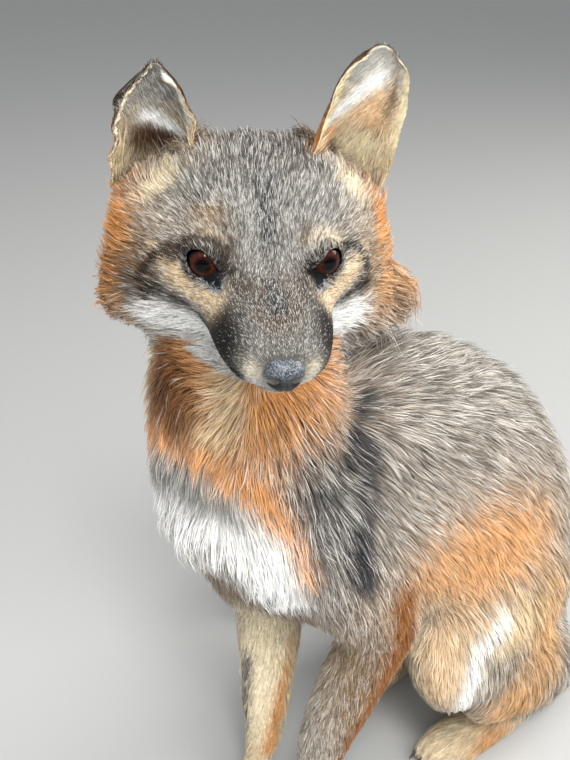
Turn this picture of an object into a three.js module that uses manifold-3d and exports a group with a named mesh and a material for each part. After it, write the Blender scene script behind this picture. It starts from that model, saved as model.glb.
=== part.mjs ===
// Seated gray fox, a life-size mount, built as named solids out to the tips of the coat.
// Millimetres, +Z up. The fox's body faces -Y and its left side is +X.
// The origin is on the floor, at the middle of the flat under the rump that the fox sits on.
import * as THREE from 'three';
import Module from 'manifold-3d';

// ---- driving dimensions -------------------------------------------------------------------
const GAP = 0.5;                 // clearance left between touching pieces of the body
const SHORTEST_EDGE = 0.7;       // shorter edges, left by cuts, are drawn together
const SEAT_Y = 172;              // distance from the shoulder plane back to the seat
const BACK_TOP = 286;            // height of the back over the ribs
const HEAD_LENGTH = 128;         // nose tip to the back of the head
const NOSE_TIP = new THREE.Vector3(89, -97, 333);
const HEAD_YAW = 62;             // degrees the head is turned to the fox's left
const HEAD_PITCH = 13;           // degrees the muzzle points down
const HEAD_ROLL = 3;             // degrees its left side hangs lower
const EYE_RADIUS = 7.9;
const EYE_SPACING = 48.6;          // between the centres of the eyes
const EYE_SHIFT = 0.9;            // both eyes are set a little towards the fox's right
const EAR_HEIGHT = 60;
const EAR_HALF_WIDTH = 22;
const CLAW_LENGTH = 9;
const TAIL_RADIUS = 42;

const COLOURS = {
  grizzle: '#8d8478', rust: '#c07c3c', cream: '#d9cdb8', black: '#1d1b1b',
  nose: '#33363c', eye: '#4a2415',
};

const wasm = await Module();
wasm.setup();

// ---- solids -------------------------------------------------------------------------------

function toSolid(geometry) {
  return new wasm.Manifold(new wasm.Mesh({
    numProp: 3,
    vertProperties: new Float32Array(geometry.getAttribute('position').array),
    triVerts: new Uint32Array(geometry.index.array),
  }));
}

// The largest single body of a cut solid.
function mainBody(solid) {
  const bodies = solid.decompose();
  return bodies.reduce((a, b) => (b.volume() > a.volume() ? b : a));
}

function toGeometry(solid) {
  const mesh = solid.getMesh();
  const points = [];
  for (let k = 0; k < mesh.vertProperties.length; k += mesh.numProp) {
    points.push(new THREE.Vector3().fromArray(mesh.vertProperties, k));
  }
  const faces = [];
  for (let k = 0; k < mesh.triVerts.length; k += 3) faces.push([...mesh.triVerts.slice(k, k + 3)]);
  const tidied = joinShortEdges(points, faces);
  const geometry = new THREE.BufferGeometry().setFromPoints(tidied.points);
  geometry.setIndex(tidied.faces.flat());
  geometry.computeVertexNormals();
  return geometry;
}

// Cuts leave slivers. This draws the two ends of each very short edge together, where the
// surface round it stays whole, until none is left.
function joinShortEdges(points, faces) {
  let kept = faces;
  let joined = true;
  while (joined) {
    joined = false;
    const around = points.map(() => []);
    for (const face of kept) for (const corner of face) around[corner].push(face);
    const busy = new Set();
    const drawnTo = new Map();
    const neighbours = (corner) => new Set(around[corner].flat().filter((other) => other !== corner));
    for (const face of kept) {
      for (let k = 0; k < 3; k += 1) {
        const [a, b] = [face[k], face[(k + 1) % 3]];
        if (points[a].distanceTo(points[b]) > SHORTEST_EDGE || busy.has(a) || busy.has(b)) continue;
        const [nearA, nearB] = [neighbours(a), neighbours(b)];
        const shared = [...nearA].filter((corner) => nearB.has(corner));
        if (shared.length !== 2 || [...nearA, ...nearB].some((corner) => busy.has(corner))) continue;
        points[a].lerp(points[b], 0.5);
        drawnTo.set(b, a);
        for (const corner of [...nearA, ...nearB]) busy.add(corner);
        joined = true;
      }
    }
    kept = kept.map((face) => face.map((corner) => drawnTo.get(corner) ?? corner))
      .filter(([a, b, c]) => a !== b && b !== c && c !== a);
  }
  const used = [...new Set(kept.flat())];
  const place = new Map(used.map((corner, index) => [corner, index]));
  return { points: used.map((corner) => points[corner]), faces: kept.map((f) => f.map((c) => place.get(c))) };
}

// A closed skin over rings of points that all have the same count, with a point at each end.
function skinRings(rings, firstPole, lastPole) {
  const count = rings[0].length;
  const points = [firstPole, ...rings.flat(), lastPole];
  const faces = [];
  const last = points.length - 1;
  for (let i = 0; i < count; i += 1) {
    const j = (i + 1) % count;
    faces.push(0, 1 + j, 1 + i);
    faces.push(last, last - count + i, last - count + j);
    for (let r = 0; r + 1 < rings.length; r += 1) {
      const near = 1 + r * count;
      const far = near + count;
      faces.push(near + i, near + j, far + j, near + i, far + j, far + i);
    }
  }
  return closedGeometry(points, faces);
}

function closedGeometry(points, faces) {
  const geometry = new THREE.BufferGeometry().setFromPoints(points);
  geometry.setIndex(signedVolume(points, faces) < 0 ? faces.slice().reverse() : faces);
  return geometry;
}

function signedVolume(points, faces) {
  let volume = 0;
  for (let f = 0; f < faces.length; f += 3) {
    const [a, b, c] = [points[faces[f]], points[faces[f + 1]], points[faces[f + 2]]];
    volume += a.dot(b.clone().cross(c));
  }
  return volume;
}

// A rounded limb or body through stations [x, y, z, side, above, below]: the middle of each
// section, its half-width to the side, and how far it reaches above and below that middle.
// The sections stand square to the path, or square to the direction `facing` where it is given.
function limb(stations, options = {}) {
  const {
    rings = 7, sides = 12, capRings = 2, grow = 0, up = [0, 0, 1], facing, round = 0.6, squareness = 2,
  } = options;
  const path = new THREE.CatmullRomCurve3(stations.map((s) => new THREE.Vector3(s[0], s[1], s[2])));
  const sizes = new THREE.CatmullRomCurve3(stations.map((s) => new THREE.Vector3(s[3], s[4], s[5])));
  const upward = new THREE.Vector3(...up);

  const sectionAt = (t, scale, shift) => {
    const along = facing ? new THREE.Vector3(...facing) : path.getTangent(t);
    const side = new THREE.Vector3().crossVectors(along, upward).normalize();
    const above = new THREE.Vector3().crossVectors(side, along).normalize();
    const middle = path.getPoint(t).addScaledVector(along, shift);
    const size = sizes.getPoint(t).addScalar(grow).multiplyScalar(scale);
    const ring = [];
    for (let k = 0; k < sides; k += 1) {
      const angle = (2 * Math.PI * k) / sides;
      const across = Math.sign(Math.cos(angle)) * Math.abs(Math.cos(angle)) ** (2 / squareness);
      const rise = Math.sign(Math.sin(angle)) * Math.abs(Math.sin(angle)) ** (2 / squareness);
      const reach = rise > 0 ? size.y : size.z;
      ring.push(middle.clone().addScaledVector(side, across * size.x).addScaledVector(above, rise * reach));
    }
    return ring;
  };
  const poleAt = (t, shift) => {
    const along = facing ? new THREE.Vector3(...facing) : path.getTangent(t);
    return path.getPoint(t).addScaledVector(along, shift);
  };

  const startCap = round * Math.min(stations[0][3], stations[0][4]) + grow;
  const end = stations[stations.length - 1];
  const endCap = round * Math.min(end[3], end[4]) + grow;
  const sections = [];
  for (let k = capRings - 1; k >= 1; k -= 1) {
    const turn = (Math.PI / 2) * (k / capRings);
    sections.push(sectionAt(0, Math.cos(turn), -startCap * Math.sin(turn)));
  }
  for (let r = 0; r < rings; r += 1) sections.push(sectionAt(r / (rings - 1), 1, 0));
  for (let k = 1; k < capRings; k += 1) {
    const turn = (Math.PI / 2) * (k / capRings);
    sections.push(sectionAt(1, Math.cos(turn), endCap * Math.sin(turn)));
  }
  return skinRings(sections, poleAt(0, -startCap), poleAt(1, endCap));
}

const mirrored = (stations) => stations.map(([x, ...rest]) => [-x, ...rest]);

// ---- head, in its own frame: nose tip at the origin, muzzle along -Y, +X the fox's left -------

const headPlace = new THREE.Matrix4().makeTranslation(NOSE_TIP.x, NOSE_TIP.y, NOSE_TIP.z)
  .multiply(new THREE.Matrix4().makeRotationZ(THREE.MathUtils.degToRad(HEAD_YAW)))
  .multiply(new THREE.Matrix4().makeRotationX(THREE.MathUtils.degToRad(HEAD_PITCH)))
  .multiply(new THREE.Matrix4().makeRotationY(THREE.MathUtils.degToRad(HEAD_ROLL)));

// Sections of the head: distance behind the nose tip, middle height, half-width, reach above
// and below, and how far the cheek ruff and the ear roots flare beyond the half-width.
const HEAD_SECTIONS = [
  [7, -2, 12, 9, 9, 0, 0],
  [14, -2, 18, 12, 12, 0, 0],
  [24, -1, 23, 14.5, 15.5, 0, 0],
  [34, 0, 25.5, 16, 18, 0, 0],
  [44, 1, 27, 18, 21, 0, 0],
  [52, 2, 30, 20, 26, 0, 0],
  [60, 4, 36, 24, 34, 0.04, 0.02],
  [70, 6, 43, 32, 42, 0.14, 0.04],
  [82, 6, 50, 41, 47, 0.28, 0.08],
  [94, 5, 55, 48, 48, 0.42, 0.13],
  [106, 4, 57, 50, 48, 0.46, 0.17],
  [118, 2, 52, 45, 43, 0.36, 0.15],
  [HEAD_LENGTH - 2, 0, 38, 34, 32, 0.15, 0.08],
];
const RUFF_ANGLE = THREE.MathUtils.degToRad(-43);
const RUFF_SPREAD = THREE.MathUtils.degToRad(24);
const RUFF_LEFT_EXTRA = 0.75;    // the left ruff is brushed further out
const EAR_ROOT_ANGLE = THREE.MathUtils.degToRad(24);
const EAR_ROOT_SPREAD = THREE.MathUtils.degToRad(16);
const HEAD_SIDES = 32;

// Rises (+) and hollows (-) laid over the sections: place, size of each, height, and direction.
const HEAD_FORMS = [
  { at: [24, 50, 21], reach: [9, 9, 8], push: [-3, 4.5, -1] },        // eye socket
  { at: [19, 62, 33], reach: [10, 9, 8], push: [0.5, -3, 3] },        // brow
  { at: [38, 66, 8], reach: [9, 12, 8], push: [3, -2, 1] },           // cheek bone
  { at: [13, 14, -4], reach: [7, 10, 8], push: [2.5, -0.5, -1] },     // whisker pad
  { at: [0, 46, 18], reach: [8, 12, 7], push: [0, 1, -2.2] },         // stop
  { at: [16, 36, 6], reach: [7, 8, 9], push: [-2, 0, 0] },            // side of the muzzle
  { at: [31, 100, 46], reach: [9, 12, 9], push: [0, 0, 5] },          // crown beside the ears
  { at: [0, 100, 54], reach: [13, 18, 9], push: [0, 0, -1.5] },       // crown between them
];

function sculptHead(point) {
  const moved = point.clone();
  for (const form of HEAD_FORMS) {
    for (const sideSign of form.at[0] ? [1, -1] : [1]) {
      const dx = (point.x - sideSign * form.at[0]) / form.reach[0];
      const dy = (point.y - form.at[1]) / form.reach[1];
      const dz = (point.z - form.at[2]) / form.reach[2];
      const weight = Math.exp(-0.5 * (dx * dx + dy * dy + dz * dz));
      moved.x += sideSign * form.push[0] * weight;
      moved.y += form.push[1] * weight;
      moved.z += form.push[2] * weight;
    }
  }
  return moved;
}

function headSkin(grow = 0) {
  const lobe = (angle, middle, spread) => Math.exp(-0.5 * ((angle - middle) / spread) ** 2);
  const rings = HEAD_SECTIONS.map(([back, middle, width, above, below, ruff, root]) => {
    const ring = [];
    for (let k = 0; k < HEAD_SIDES; k += 1) {
      const angle = (2 * Math.PI * k) / HEAD_SIDES;
      const folded = Math.asin(Math.sin(angle));
      const leftward = 1 + RUFF_LEFT_EXTRA * (Math.cos(angle) > 0);
      const flare = 1 + ruff * leftward * lobe(folded, RUFF_ANGLE, RUFF_SPREAD)
        + root * lobe(folded, EAR_ROOT_ANGLE, EAR_ROOT_SPREAD);
      const reach = Math.sin(angle) > 0 ? above : below;
      ring.push(sculptHead(new THREE.Vector3(
        (width + grow) * Math.cos(angle) * flare,
        back,
        middle + (reach + grow) * Math.sin(angle) * flare,
      )));
    }
    return ring;
  });
  const first = HEAD_SECTIONS[0];
  const last = HEAD_SECTIONS[HEAD_SECTIONS.length - 1];
  return skinRings(rings, new THREE.Vector3(0, first[0] - 4 - grow, first[1]),
    new THREE.Vector3(0, HEAD_LENGTH + 4 + grow, last[1])).applyMatrix4(headPlace);
}

const JAW_STATIONS = [
  [0, 12, -13, 8, 5, 5], [0, 30, -18, 14, 7, 6], [0, 52, -27, 21, 10, 9], [0, 76, -37, 28, 15, 11],
  [0, 98, -42, 32, 18, 12],
];

function inHead(stations, options) {
  return limb(stations, options).applyMatrix4(headPlace);
}

function nosePad(grow = 0) {
  const pad = limb([[0, 10, -3, 8, 7.5, 7], [0, 5, -3, 8.6, 7.2, 7], [0, 1.5, -3, 7, 5.5, 5.5]],
    { rings: 4, sides: 14, grow, round: 0.3, squareness: 2.3 });
  return pad.applyMatrix4(headPlace);
}

function eyeball(side, grow = 0) {
  const ball = new THREE.IcosahedronGeometry(EYE_RADIUS + grow, 2);
  const merged = mergedSphere(ball);
  merged.translate(side * EYE_SPACING / 2 - EYE_SHIFT, 57.5, 16.2);
  return merged.applyMatrix4(headPlace);
}

// An icosahedron sphere with its repeated corners joined.
function mergedSphere(sphere) {
  const source = sphere.getAttribute('position');
  const seen = new Map();
  const points = [];
  const faces = [];
  for (let i = 0; i < source.count; i += 1) {
    const point = new THREE.Vector3().fromBufferAttribute(source, i);
    const key = point.toArray().map((value) => value.toFixed(3)).join();
    if (!seen.has(key)) {
      seen.set(key, points.length);
      points.push(point);
    }
    faces.push(seen.get(key));
  }
  return closedGeometry(points, faces);
}

// A cupped ear: each section is an arc, open to the front, that flattens towards the blunt tip.
// Wear makes its rim uneven; inward widens the half that is nearer -x.
function ear({ height, wear, blunt, inward }, grow = 0) {
  const rows = 8;
  const columns = 8;
  const tipShare = 0.97;
  const rings = [];
  for (let r = 0; r <= rows; r += 1) {
    const u = (tipShare * r) / rows;
    const outline = Math.sqrt(1 - u ** blunt) * (0.9 + 0.35 * u * (1 - u)) * (1 - 0.22 * u);
    const halfWidth = EAR_HALF_WIDTH * outline;
    const wrap = THREE.MathUtils.lerp(1.5, 0.8, u);
    const radius = halfWidth / Math.sin(wrap);
    const outer = [];
    const inner = [];
    for (let c = 0; c <= columns; c += 1) {
      const v = (2 * c) / columns - 1;
      const thickness = 2.8 + 1.4 * (1 - v * v) + grow;
      const tear = wear * Math.abs(v) ** 3 * (Math.sin(9 * u + 2 * v) + 0.8 * Math.sin(23 * u));
      const turn = v * wrap;
      const rise = EAR_HEIGHT * height * u - 5 * v * v * u + 0.5 * tear;
      for (const [list, offset] of [[outer, thickness / 2], [inner, -thickness / 2]]) {
        list.push(new THREE.Vector3(
          (radius + offset) * Math.sin(turn) * (v < 0 ? inward : 1) + tear,
          (radius + offset) * Math.cos(turn) - radius * Math.cos(wrap) + 4 * u * u,
          rise,
        ));
      }
    }
    rings.push([...outer, ...inner.reverse()]);
  }
  return ladderSkin(rings, columns + 1);
}

// A closed skin over C-shaped rings, whose ends are closed by steps from one wall to the other.
function ladderSkin(rings, wall) {
  const count = rings[0].length;
  const points = rings.flat();
  const faces = [];
  for (let r = 0; r + 1 < rings.length; r += 1) {
    for (let i = 0; i < count; i += 1) {
      const j = (i + 1) % count;
      const near = r * count;
      const far = near + count;
      faces.push(near + i, near + j, far + j, near + i, far + j, far + i);
    }
  }
  for (const [start, turned] of [[0, true], [(rings.length - 1) * count, false]]) {
    for (let c = 0; c + 1 < wall; c += 1) {
      const [a, b] = [start + c, start + c + 1];
      const [d, e] = [start + count - 1 - c, start + count - 2 - c];
      if (turned) faces.push(a, d, e, a, e, b);
      else faces.push(a, e, d, a, b, e);
    }
  }
  return closedGeometry(points, faces);
}

const EAR_PLACES = {
  left: {
    at: [45, 102, 30], lean: 11, swing: -24, back: 2, height: 1, wear: 0.3, blunt: 14, inward: 1.3,
  },
  right: {
    at: [-43, 104, 26], lean: -3, swing: 30, back: 4, height: 0.88, wear: 1.2, blunt: 6, inward: 1,
  },
};

function placedEar(name, grow = 0) {
  const place = EAR_PLACES[name];
  const turn = new THREE.Matrix4().makeTranslation(...place.at)
    .multiply(new THREE.Matrix4().makeRotationY(THREE.MathUtils.degToRad(place.lean)))
    .multiply(new THREE.Matrix4().makeRotationX(THREE.MathUtils.degToRad(-place.back)))
    .multiply(new THREE.Matrix4().makeRotationZ(THREE.MathUtils.degToRad(-place.swing)));
  return ear(place, grow).applyMatrix4(turn).applyMatrix4(headPlace);
}

// ---- body ---------------------------------------------------------------------------------

// Trunk, front to back: breast, ribs, loin and the rump that the fox sits on.
const TRUNK = [
  [0, -84, 218, 35, 28, 28],
  [0, -62, 212, 50, 50, 50],
  [0, -24, 202, 60, 78, 70],
  [0, 18, 194, 63, BACK_TOP - 194, 80],
  [0, 56, 184, 64, BACK_TOP - 185, 84],
  [0, 90, 168, 64, 105, 90],
  [0, 120, 148, 62, 108, 100],
  [0, 146, 124, 58, 112, 116],
  [0, 168, 106, 50, 100, 112],
  [0, 184, 94, 38, 76, 98],
];

const NECK = [
  [-3, -42, 222, 55, 56, 54],
  [-3, -47, 254, 53, 55, 50],
  [-2, -50, 288, 50, 50, 48],
  [2, -49, 320, 45, 45, 44],
  [6, -46, 342, 38, 36, 40],
];

// Left legs; the right ones differ where the fox has shifted its weight.
const UPPER_ARM_LEFT = [[36, -34, 222, 26, 38, 38], [42, -16, 186, 26, 38, 36], [43, 2, 148, 23, 27, 27]];
const FOREARM_LEFT = [
  [41, 6, 142, 22, 30, 24], [38, 2, 122, 19, 27, 20], [33, -10, 96, 17, 26, 18],
  [30, -22, 68, 14.5, 20, 15], [27, -29, 42, 12.5, 14, 12.5],
];
const UPPER_ARM_RIGHT = [[-32, -42, 206, 24, 34, 34], [-37, -30, 170, 25, 33, 33], [-33, -17, 132, 22, 26, 26]];
const FOREARM_RIGHT = [
  [-32, -15, 124, 21, 22, 22], [-28, -18, 98, 19, 19, 19], [-20, -26, 70, 15.5, 15.5, 15.5],
  [-11, -36, 34, 11.5, 11.5, 11.5],
];
const THIGH_LEFT = [
  [32, 140, 112, 32, 58, 60], [42, 108, 106, 32, 58, 54], [48, 76, 96, 28, 50, 46], [50, 45, 86, 22, 36, 32],
];
const SHANK_LEFT = [
  [50, 84, 62, 20, 36, 30], [54, 116, 56, 22, 36, 32], [50, 148, 44, 20, 30, 30], [46, 174, 32, 16, 20, 20],
];

function paw(heel, toes, width, height, grow) {
  const [hx, hy, hz] = heel;
  const [tx, ty] = toes;
  const stations = [
    [hx, hy, hz, width * 0.72, height * 0.8, height * 0.8],
    [hx * 0.55 + tx * 0.45, hy * 0.5 + ty * 0.5, height * 0.85, width * 0.84, height * 0.8, height],
    [tx, ty * 0.82 + hy * 0.18, height * 0.62, width, height * 0.75, height * 0.75],
    [tx, ty, height * 0.5, width * 0.84, height * 0.5, height * 0.55],
  ];
  return limb(stations, { grow, squareness: 2.3 });
}

// Four claws in a row across the toes of a paw.
function claws(toes, width) {
  const [tx, ty] = toes;
  return [-0.62, -0.22, 0.22, 0.62].map((across) => {
    const x = tx + across * width;
    const y = ty - 1 + 5 * across * across;
    return limb([[x, y, 7, 2.2, 2.4, 2.4], [x, y - CLAW_LENGTH, 3.5, 0.9, 0.9, 0.9]],
      { rings: 2, sides: 5, capRings: 1 });
  });
}

const PAWS = {
  forepaw_left: { heel: [26, -32, 26], toes: [25, -60, 9], width: 16, height: 14 },
  forepaw_right: { heel: [-10, -38, 20], toes: [-9, -66, 9], width: 15, height: 13 },
  hindfoot_left: { heel: [44, 176, 16], toes: [40, 56, 9], width: 16.5, height: 14 },
  hindfoot_right: { heel: [-44, 176, 16], toes: [-40, 56, 9], width: 16.5, height: 14 },
};

// The tail leaves the rump at floor level and curls round the fox's right side.
const TAIL_PATH = [
  [0, 190, 40], [-34, 214, TAIL_RADIUS], [-82, 226, TAIL_RADIUS], [-126, 208, TAIL_RADIUS],
  [-150, 166, TAIL_RADIUS], [-153, 122, 36], [-148, 88, 24],
];
const TAIL_SIZES = [26, 36, 41, 43, 42, 35, 20];
const TAIL_CUTS = { tail_base: [0, 2], tail_mid: [2, 4], tail_tip: [4, 6] };

function tailLength(first, last, grow = 0) {
  const stations = [];
  for (let k = first; k <= last; k += 1) {
    const [x, y, z] = TAIL_PATH[k];
    const size = TAIL_SIZES[k];
    stations.push([x, y, z, size, size, size]);
  }
  const roundEnd = last === TAIL_PATH.length - 1 ? 0.9 : 0.35;
  return limb(stations, { grow, round: roundEnd });
}

// ---- assembly -----------------------------------------------------------------------------

function boxSolid(width, depth, height, x, y, z) {
  const [w, d, h] = [width / 2, depth / 2, height / 2];
  const points = [];
  for (const sz of [-h, h]) {
    for (const [sx, sy] of [[-w, -d], [w, -d], [w, d], [-w, d]]) {
      points.push(new THREE.Vector3(x + sx, y + sy, z + sz));
    }
  }
  const faces = [0, 2, 1, 0, 3, 2, 4, 5, 6, 4, 6, 7];
  for (let k = 0; k < 4; k += 1) {
    const n = (k + 1) % 4;
    faces.push(k, n, n + 4, k, n + 4, k + 4);
  }
  return toSolid(closedGeometry(points, faces));
}

const belowFloor = boxSolid(1200, 1200, 200, 0, 0, -100);

// Each piece: its name, colour and shape, given a growth that widens it for cutting others.
const PIECES = [
  ['eye_left', 'eye', (grow) => eyeball(1, grow)],
  ['eye_right', 'eye', (grow) => eyeball(-1, grow)],
  ['nose_pad', 'nose', (grow) => nosePad(grow)],
  ['head', 'grizzle', (grow) => headSkin(grow)],
  ['jaw', 'cream', (grow) => inHead(JAW_STATIONS, { rings: 6, grow })],
  ['ear_left', 'rust', (grow) => placedEar('left', grow)],
  ['ear_right', 'rust', (grow) => placedEar('right', grow)],
  ['neck', 'rust', (grow) => limb(NECK, { sides: 18, grow, up: [0, -1, 0], round: 0.5 })],
  ['trunk', 'grizzle', (grow) => limb(TRUNK, { rings: 16, sides: 20, grow, facing: [0, 1, 0] })],
  ['upper_arm_left', 'grizzle', (grow) => limb(UPPER_ARM_LEFT, { grow, up: [0, 1, 0] })],
  ['upper_arm_right', 'rust', (grow) => limb(UPPER_ARM_RIGHT, { grow, up: [0, 1, 0] })],
  ['forearm_left', 'grizzle', (grow) => limb(FOREARM_LEFT, { grow, up: [0, 1, 0], round: 0.4 })],
  ['forearm_right', 'rust', (grow) => limb(FOREARM_RIGHT, { grow, up: [0, 1, 0], round: 0.4 })],
  ['thigh_left', 'rust', (grow) => limb(THIGH_LEFT, { sides: 14, grow })],
  ['thigh_right', 'rust', (grow) => limb(mirrored(THIGH_LEFT), { sides: 14, grow })],
  ['shank_left', 'grizzle', (grow) => limb(SHANK_LEFT, { grow })],
  ['shank_right', 'grizzle', (grow) => limb(mirrored(SHANK_LEFT), { grow })],
  ...Object.entries(PAWS).map(([name, { heel, toes, width, height }]) => (
    [name, 'rust', (grow) => paw(heel, toes, width, height, grow)])),
  ...Object.entries(TAIL_CUTS).map(([name, [first, last]]) => (
    [name, name === 'tail_tip' ? 'black' : 'grizzle', (grow) => tailLength(first, last, grow)])),
];

const fox = new THREE.Group();
fox.position.set(0, -SEAT_Y, 0);
const grown = [];
for (const [name, colour, shape] of PIECES) {
  let solid = toSolid(shape(0));
  if (PAWS[name]) {
    for (const claw of claws(PAWS[name].toes, PAWS[name].width)) solid = solid.add(toSolid(claw));
  }
  const wide = toSolid(shape(GAP));
  for (const other of grown) solid = solid.subtract(other);
  solid = mainBody(solid.subtract(belowFloor));
  grown.push(wide);
  const material = new THREE.MeshStandardMaterial({
    color: COLOURS[colour],
    roughness: colour === 'eye' ? 0.05 : 0.85,
    metalness: 0,
  });
  const mesh = new THREE.Mesh(toGeometry(solid), material);
  mesh.name = name;
  fox.add(mesh);
}

export default fox;
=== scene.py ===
"""A seated gray fox mount: skin, glass eyes, nose, claws and a coat of mesh tufts.

Places are millimetres in the fox's own axes: +Z up, -Y ahead, +X its left side, Y = 0 between the
shoulders. HEAD places are in the head's axes: nose tip at the origin, muzzle along -Y. The scene is
in metres, with Y = 0 at the seat.
"""
import math

import bmesh
import bpy
import numpy as np
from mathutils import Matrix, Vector
from mathutils.bvhtree import BVHTree
from mathutils.kdtree import KDTree


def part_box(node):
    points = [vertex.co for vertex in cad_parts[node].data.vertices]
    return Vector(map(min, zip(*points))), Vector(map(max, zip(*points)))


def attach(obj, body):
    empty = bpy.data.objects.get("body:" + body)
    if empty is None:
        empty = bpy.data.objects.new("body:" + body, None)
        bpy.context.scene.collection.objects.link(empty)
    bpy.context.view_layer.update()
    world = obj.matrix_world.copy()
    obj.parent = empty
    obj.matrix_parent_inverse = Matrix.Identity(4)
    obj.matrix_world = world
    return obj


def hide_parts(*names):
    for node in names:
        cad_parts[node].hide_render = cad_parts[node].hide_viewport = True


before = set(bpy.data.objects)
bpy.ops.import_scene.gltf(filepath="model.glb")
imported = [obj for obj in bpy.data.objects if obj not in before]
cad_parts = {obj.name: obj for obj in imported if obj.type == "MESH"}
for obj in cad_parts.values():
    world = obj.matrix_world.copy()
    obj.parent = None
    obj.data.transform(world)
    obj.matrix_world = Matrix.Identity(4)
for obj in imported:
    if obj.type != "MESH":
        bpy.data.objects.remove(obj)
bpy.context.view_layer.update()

# ---- axes ----------------------------------------------------------------------------------------
MM = 0.001
SEAT = np.array((0.0, 172.0, 0.0))          # the seat, in the fox's own axes
NOSE_TIP = np.array((89.0, -97.0, 333.0))
HEAD_YAW, HEAD_PITCH, HEAD_ROLL = (math.radians(angle) for angle in (62, 13, 3))


def turned(axis, angle):
    """The 3 by 3 matrix of a turn about X, Y or Z."""
    c, s = math.cos(angle), math.sin(angle)
    return np.array({
        "X": ((1, 0, 0), (0, c, -s), (0, s, c)),
        "Y": ((c, 0, s), (0, 1, 0), (-s, 0, c)),
        "Z": ((c, -s, 0), (s, c, 0), (0, 0, 1)),
    }[axis])


HEAD_TURN = turned("Z", HEAD_YAW) @ turned("X", HEAD_PITCH) @ turned("Y", HEAD_ROLL)


def head_to_fox(points):
    return np.asarray(points, float) @ HEAD_TURN.T + NOSE_TIP


def fox_to_head(points):
    return (np.asarray(points, float) - NOSE_TIP) @ HEAD_TURN


def fox_to_scene(points):
    return (np.asarray(points, float) - SEAT) * MM


def scene_to_fox(points):
    return np.asarray(points, float) / MM + SEAT


def unit(vectors):
    vectors = np.asarray(vectors, float)
    return vectors / np.maximum(np.linalg.norm(vectors, axis=-1, keepdims=True), 1e-9)


def smooth_step(values, low, high):
    t = np.clip((values - low) / (high - low), 0, 1)
    return t * t * (3 - 2 * t)


def mix(first, second, share):
    """Blends two sets of rows by a share for each row."""
    share = np.asarray(share, float)[..., None]
    return first * (1 - share) + second * share


# ---- camera and light ----------------------------------------------------------------------------
CAMERA_PLACE = (375, -321, 500)
CAMERA_AZIMUTH = math.radians(52)
CAMERA_TILT = math.radians(25)              # below the horizon
PICTURE_HEIGHT = 760                        # pixels
FOCAL_LENGTH = 1050                         # pixels
SENSOR = 36                                 # mm


def add_object(name, data):
    thing = bpy.data.objects.new(name, data)
    bpy.context.scene.collection.objects.link(thing)
    return thing


def make_camera():
    data = bpy.data.cameras.new("camera")
    data.sensor_width = SENSOR
    data.lens = FOCAL_LENGTH * SENSOR / PICTURE_HEIGHT
    camera = add_object("camera", data)
    camera.location = fox_to_scene(CAMERA_PLACE)
    camera.rotation_euler = (math.pi / 2 - CAMERA_TILT, 0, CAMERA_AZIMUTH)
    bpy.context.scene.camera = camera


LIT_PLACE = (0, -0.1, 0.22)                 # the fox's breast, in metres
# Each light's name, place and size in metres, power and colour, and whether it is seen in gloss.
LIGHTS = [
    ("sky", (0.3, -0.35, 2.1), 0.9, 11, (0.97, 0.985, 1), True),
    ("eye light", (0.95, -0.75, 1.55), 0.36, 15, (1, 1, 1), True),
    ("front", (1.5, -0.35, 0.95), 1.4, 24, (1, 1, 1), False),
    ("side", (0.5, -1.7, 0.6), 1.2, 6, (1, 1, 1), False),
    ("rim", (0.5, 1.5, 1.3), 0.9, 25, (1, 0.96, 0.9), True),
]
WORLD_COLOUR, WORLD_STRENGTH = (0.78, 0.8, 0.82, 1), 0.56


def make_studio():
    """Square soft lights aimed at the fox, and an even pale sky."""
    for name, place, size, power, colour, glossy in LIGHTS:
        data = bpy.data.lights.new(name, "AREA")
        data.size, data.energy, data.color = size, power, colour
        light = add_object(name, data)
        light.location = place
        light.visible_glossy = glossy
        aim = Vector(LIT_PLACE) - Vector(place)
        light.rotation_euler = aim.to_track_quat("-Z", "Y").to_euler()
    world = bpy.data.worlds.new("studio")
    world.use_nodes = True
    set_values(world.node_tree.nodes["Background"], Color=WORLD_COLOUR, Strength=WORLD_STRENGTH)
    bpy.context.scene.world = world
    bpy.context.scene.view_settings.view_transform = "Standard"


FLOOR_REACH = 12                            # metres each way
FLOOR_COLOUR = (0.5, 0.5, 0.49, 1)


def make_floor():
    mesh = bpy.data.meshes.new("floor")
    corners = [(x * FLOOR_REACH, y * FLOOR_REACH, 0) for x, y in ((-1, -1), (1, -1), (1, 1), (-1, 1))]
    mesh.from_pydata(corners, [], [(0, 1, 2, 3)])
    material, _, _, surface = new_material("floor")
    set_values(surface, Base_Color=FLOOR_COLOUR, Roughness=0.9)
    mesh.materials.append(material)
    floor = add_object("floor", mesh)


# ---- colours -------------------------------------------------------------------------------------

def paint(red, green, blue):
    """A display colour, 0 to 255, as the linear colour that the shaders use."""
    shown = np.array((red, green, blue), float) / 255
    return np.where(shown <= 0.04045, shown / 12.92, ((shown + 0.055) / 1.055) ** 2.4)


WHITE = paint(250, 249, 245)
CREAM = paint(240, 226, 194)
TAN = paint(206, 174, 130)
RUST = paint(220, 152, 82)
DEEP_RUST = paint(152, 98, 54)
SILVER = paint(220, 218, 212)
GREY = paint(138, 134, 127)
DARK_GREY = paint(92, 90, 88)
BROWN = paint(112, 93, 74)
CHARCOAL = paint(40, 38, 40)
# Dark blue-grey for the painted shadow in the shoulder and side creases.
CREASE_SHADOW = paint(40, 43, 50)
BLACK = paint(16, 15, 16)

# ---- the comb chart ------------------------------------------------------------------------------
# How the coat lies at named places: the place, the way the hair runs, its length, and its lift, the
# share of its length that the tip stands off the skin. A row off the middle stands for both sides.

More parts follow.
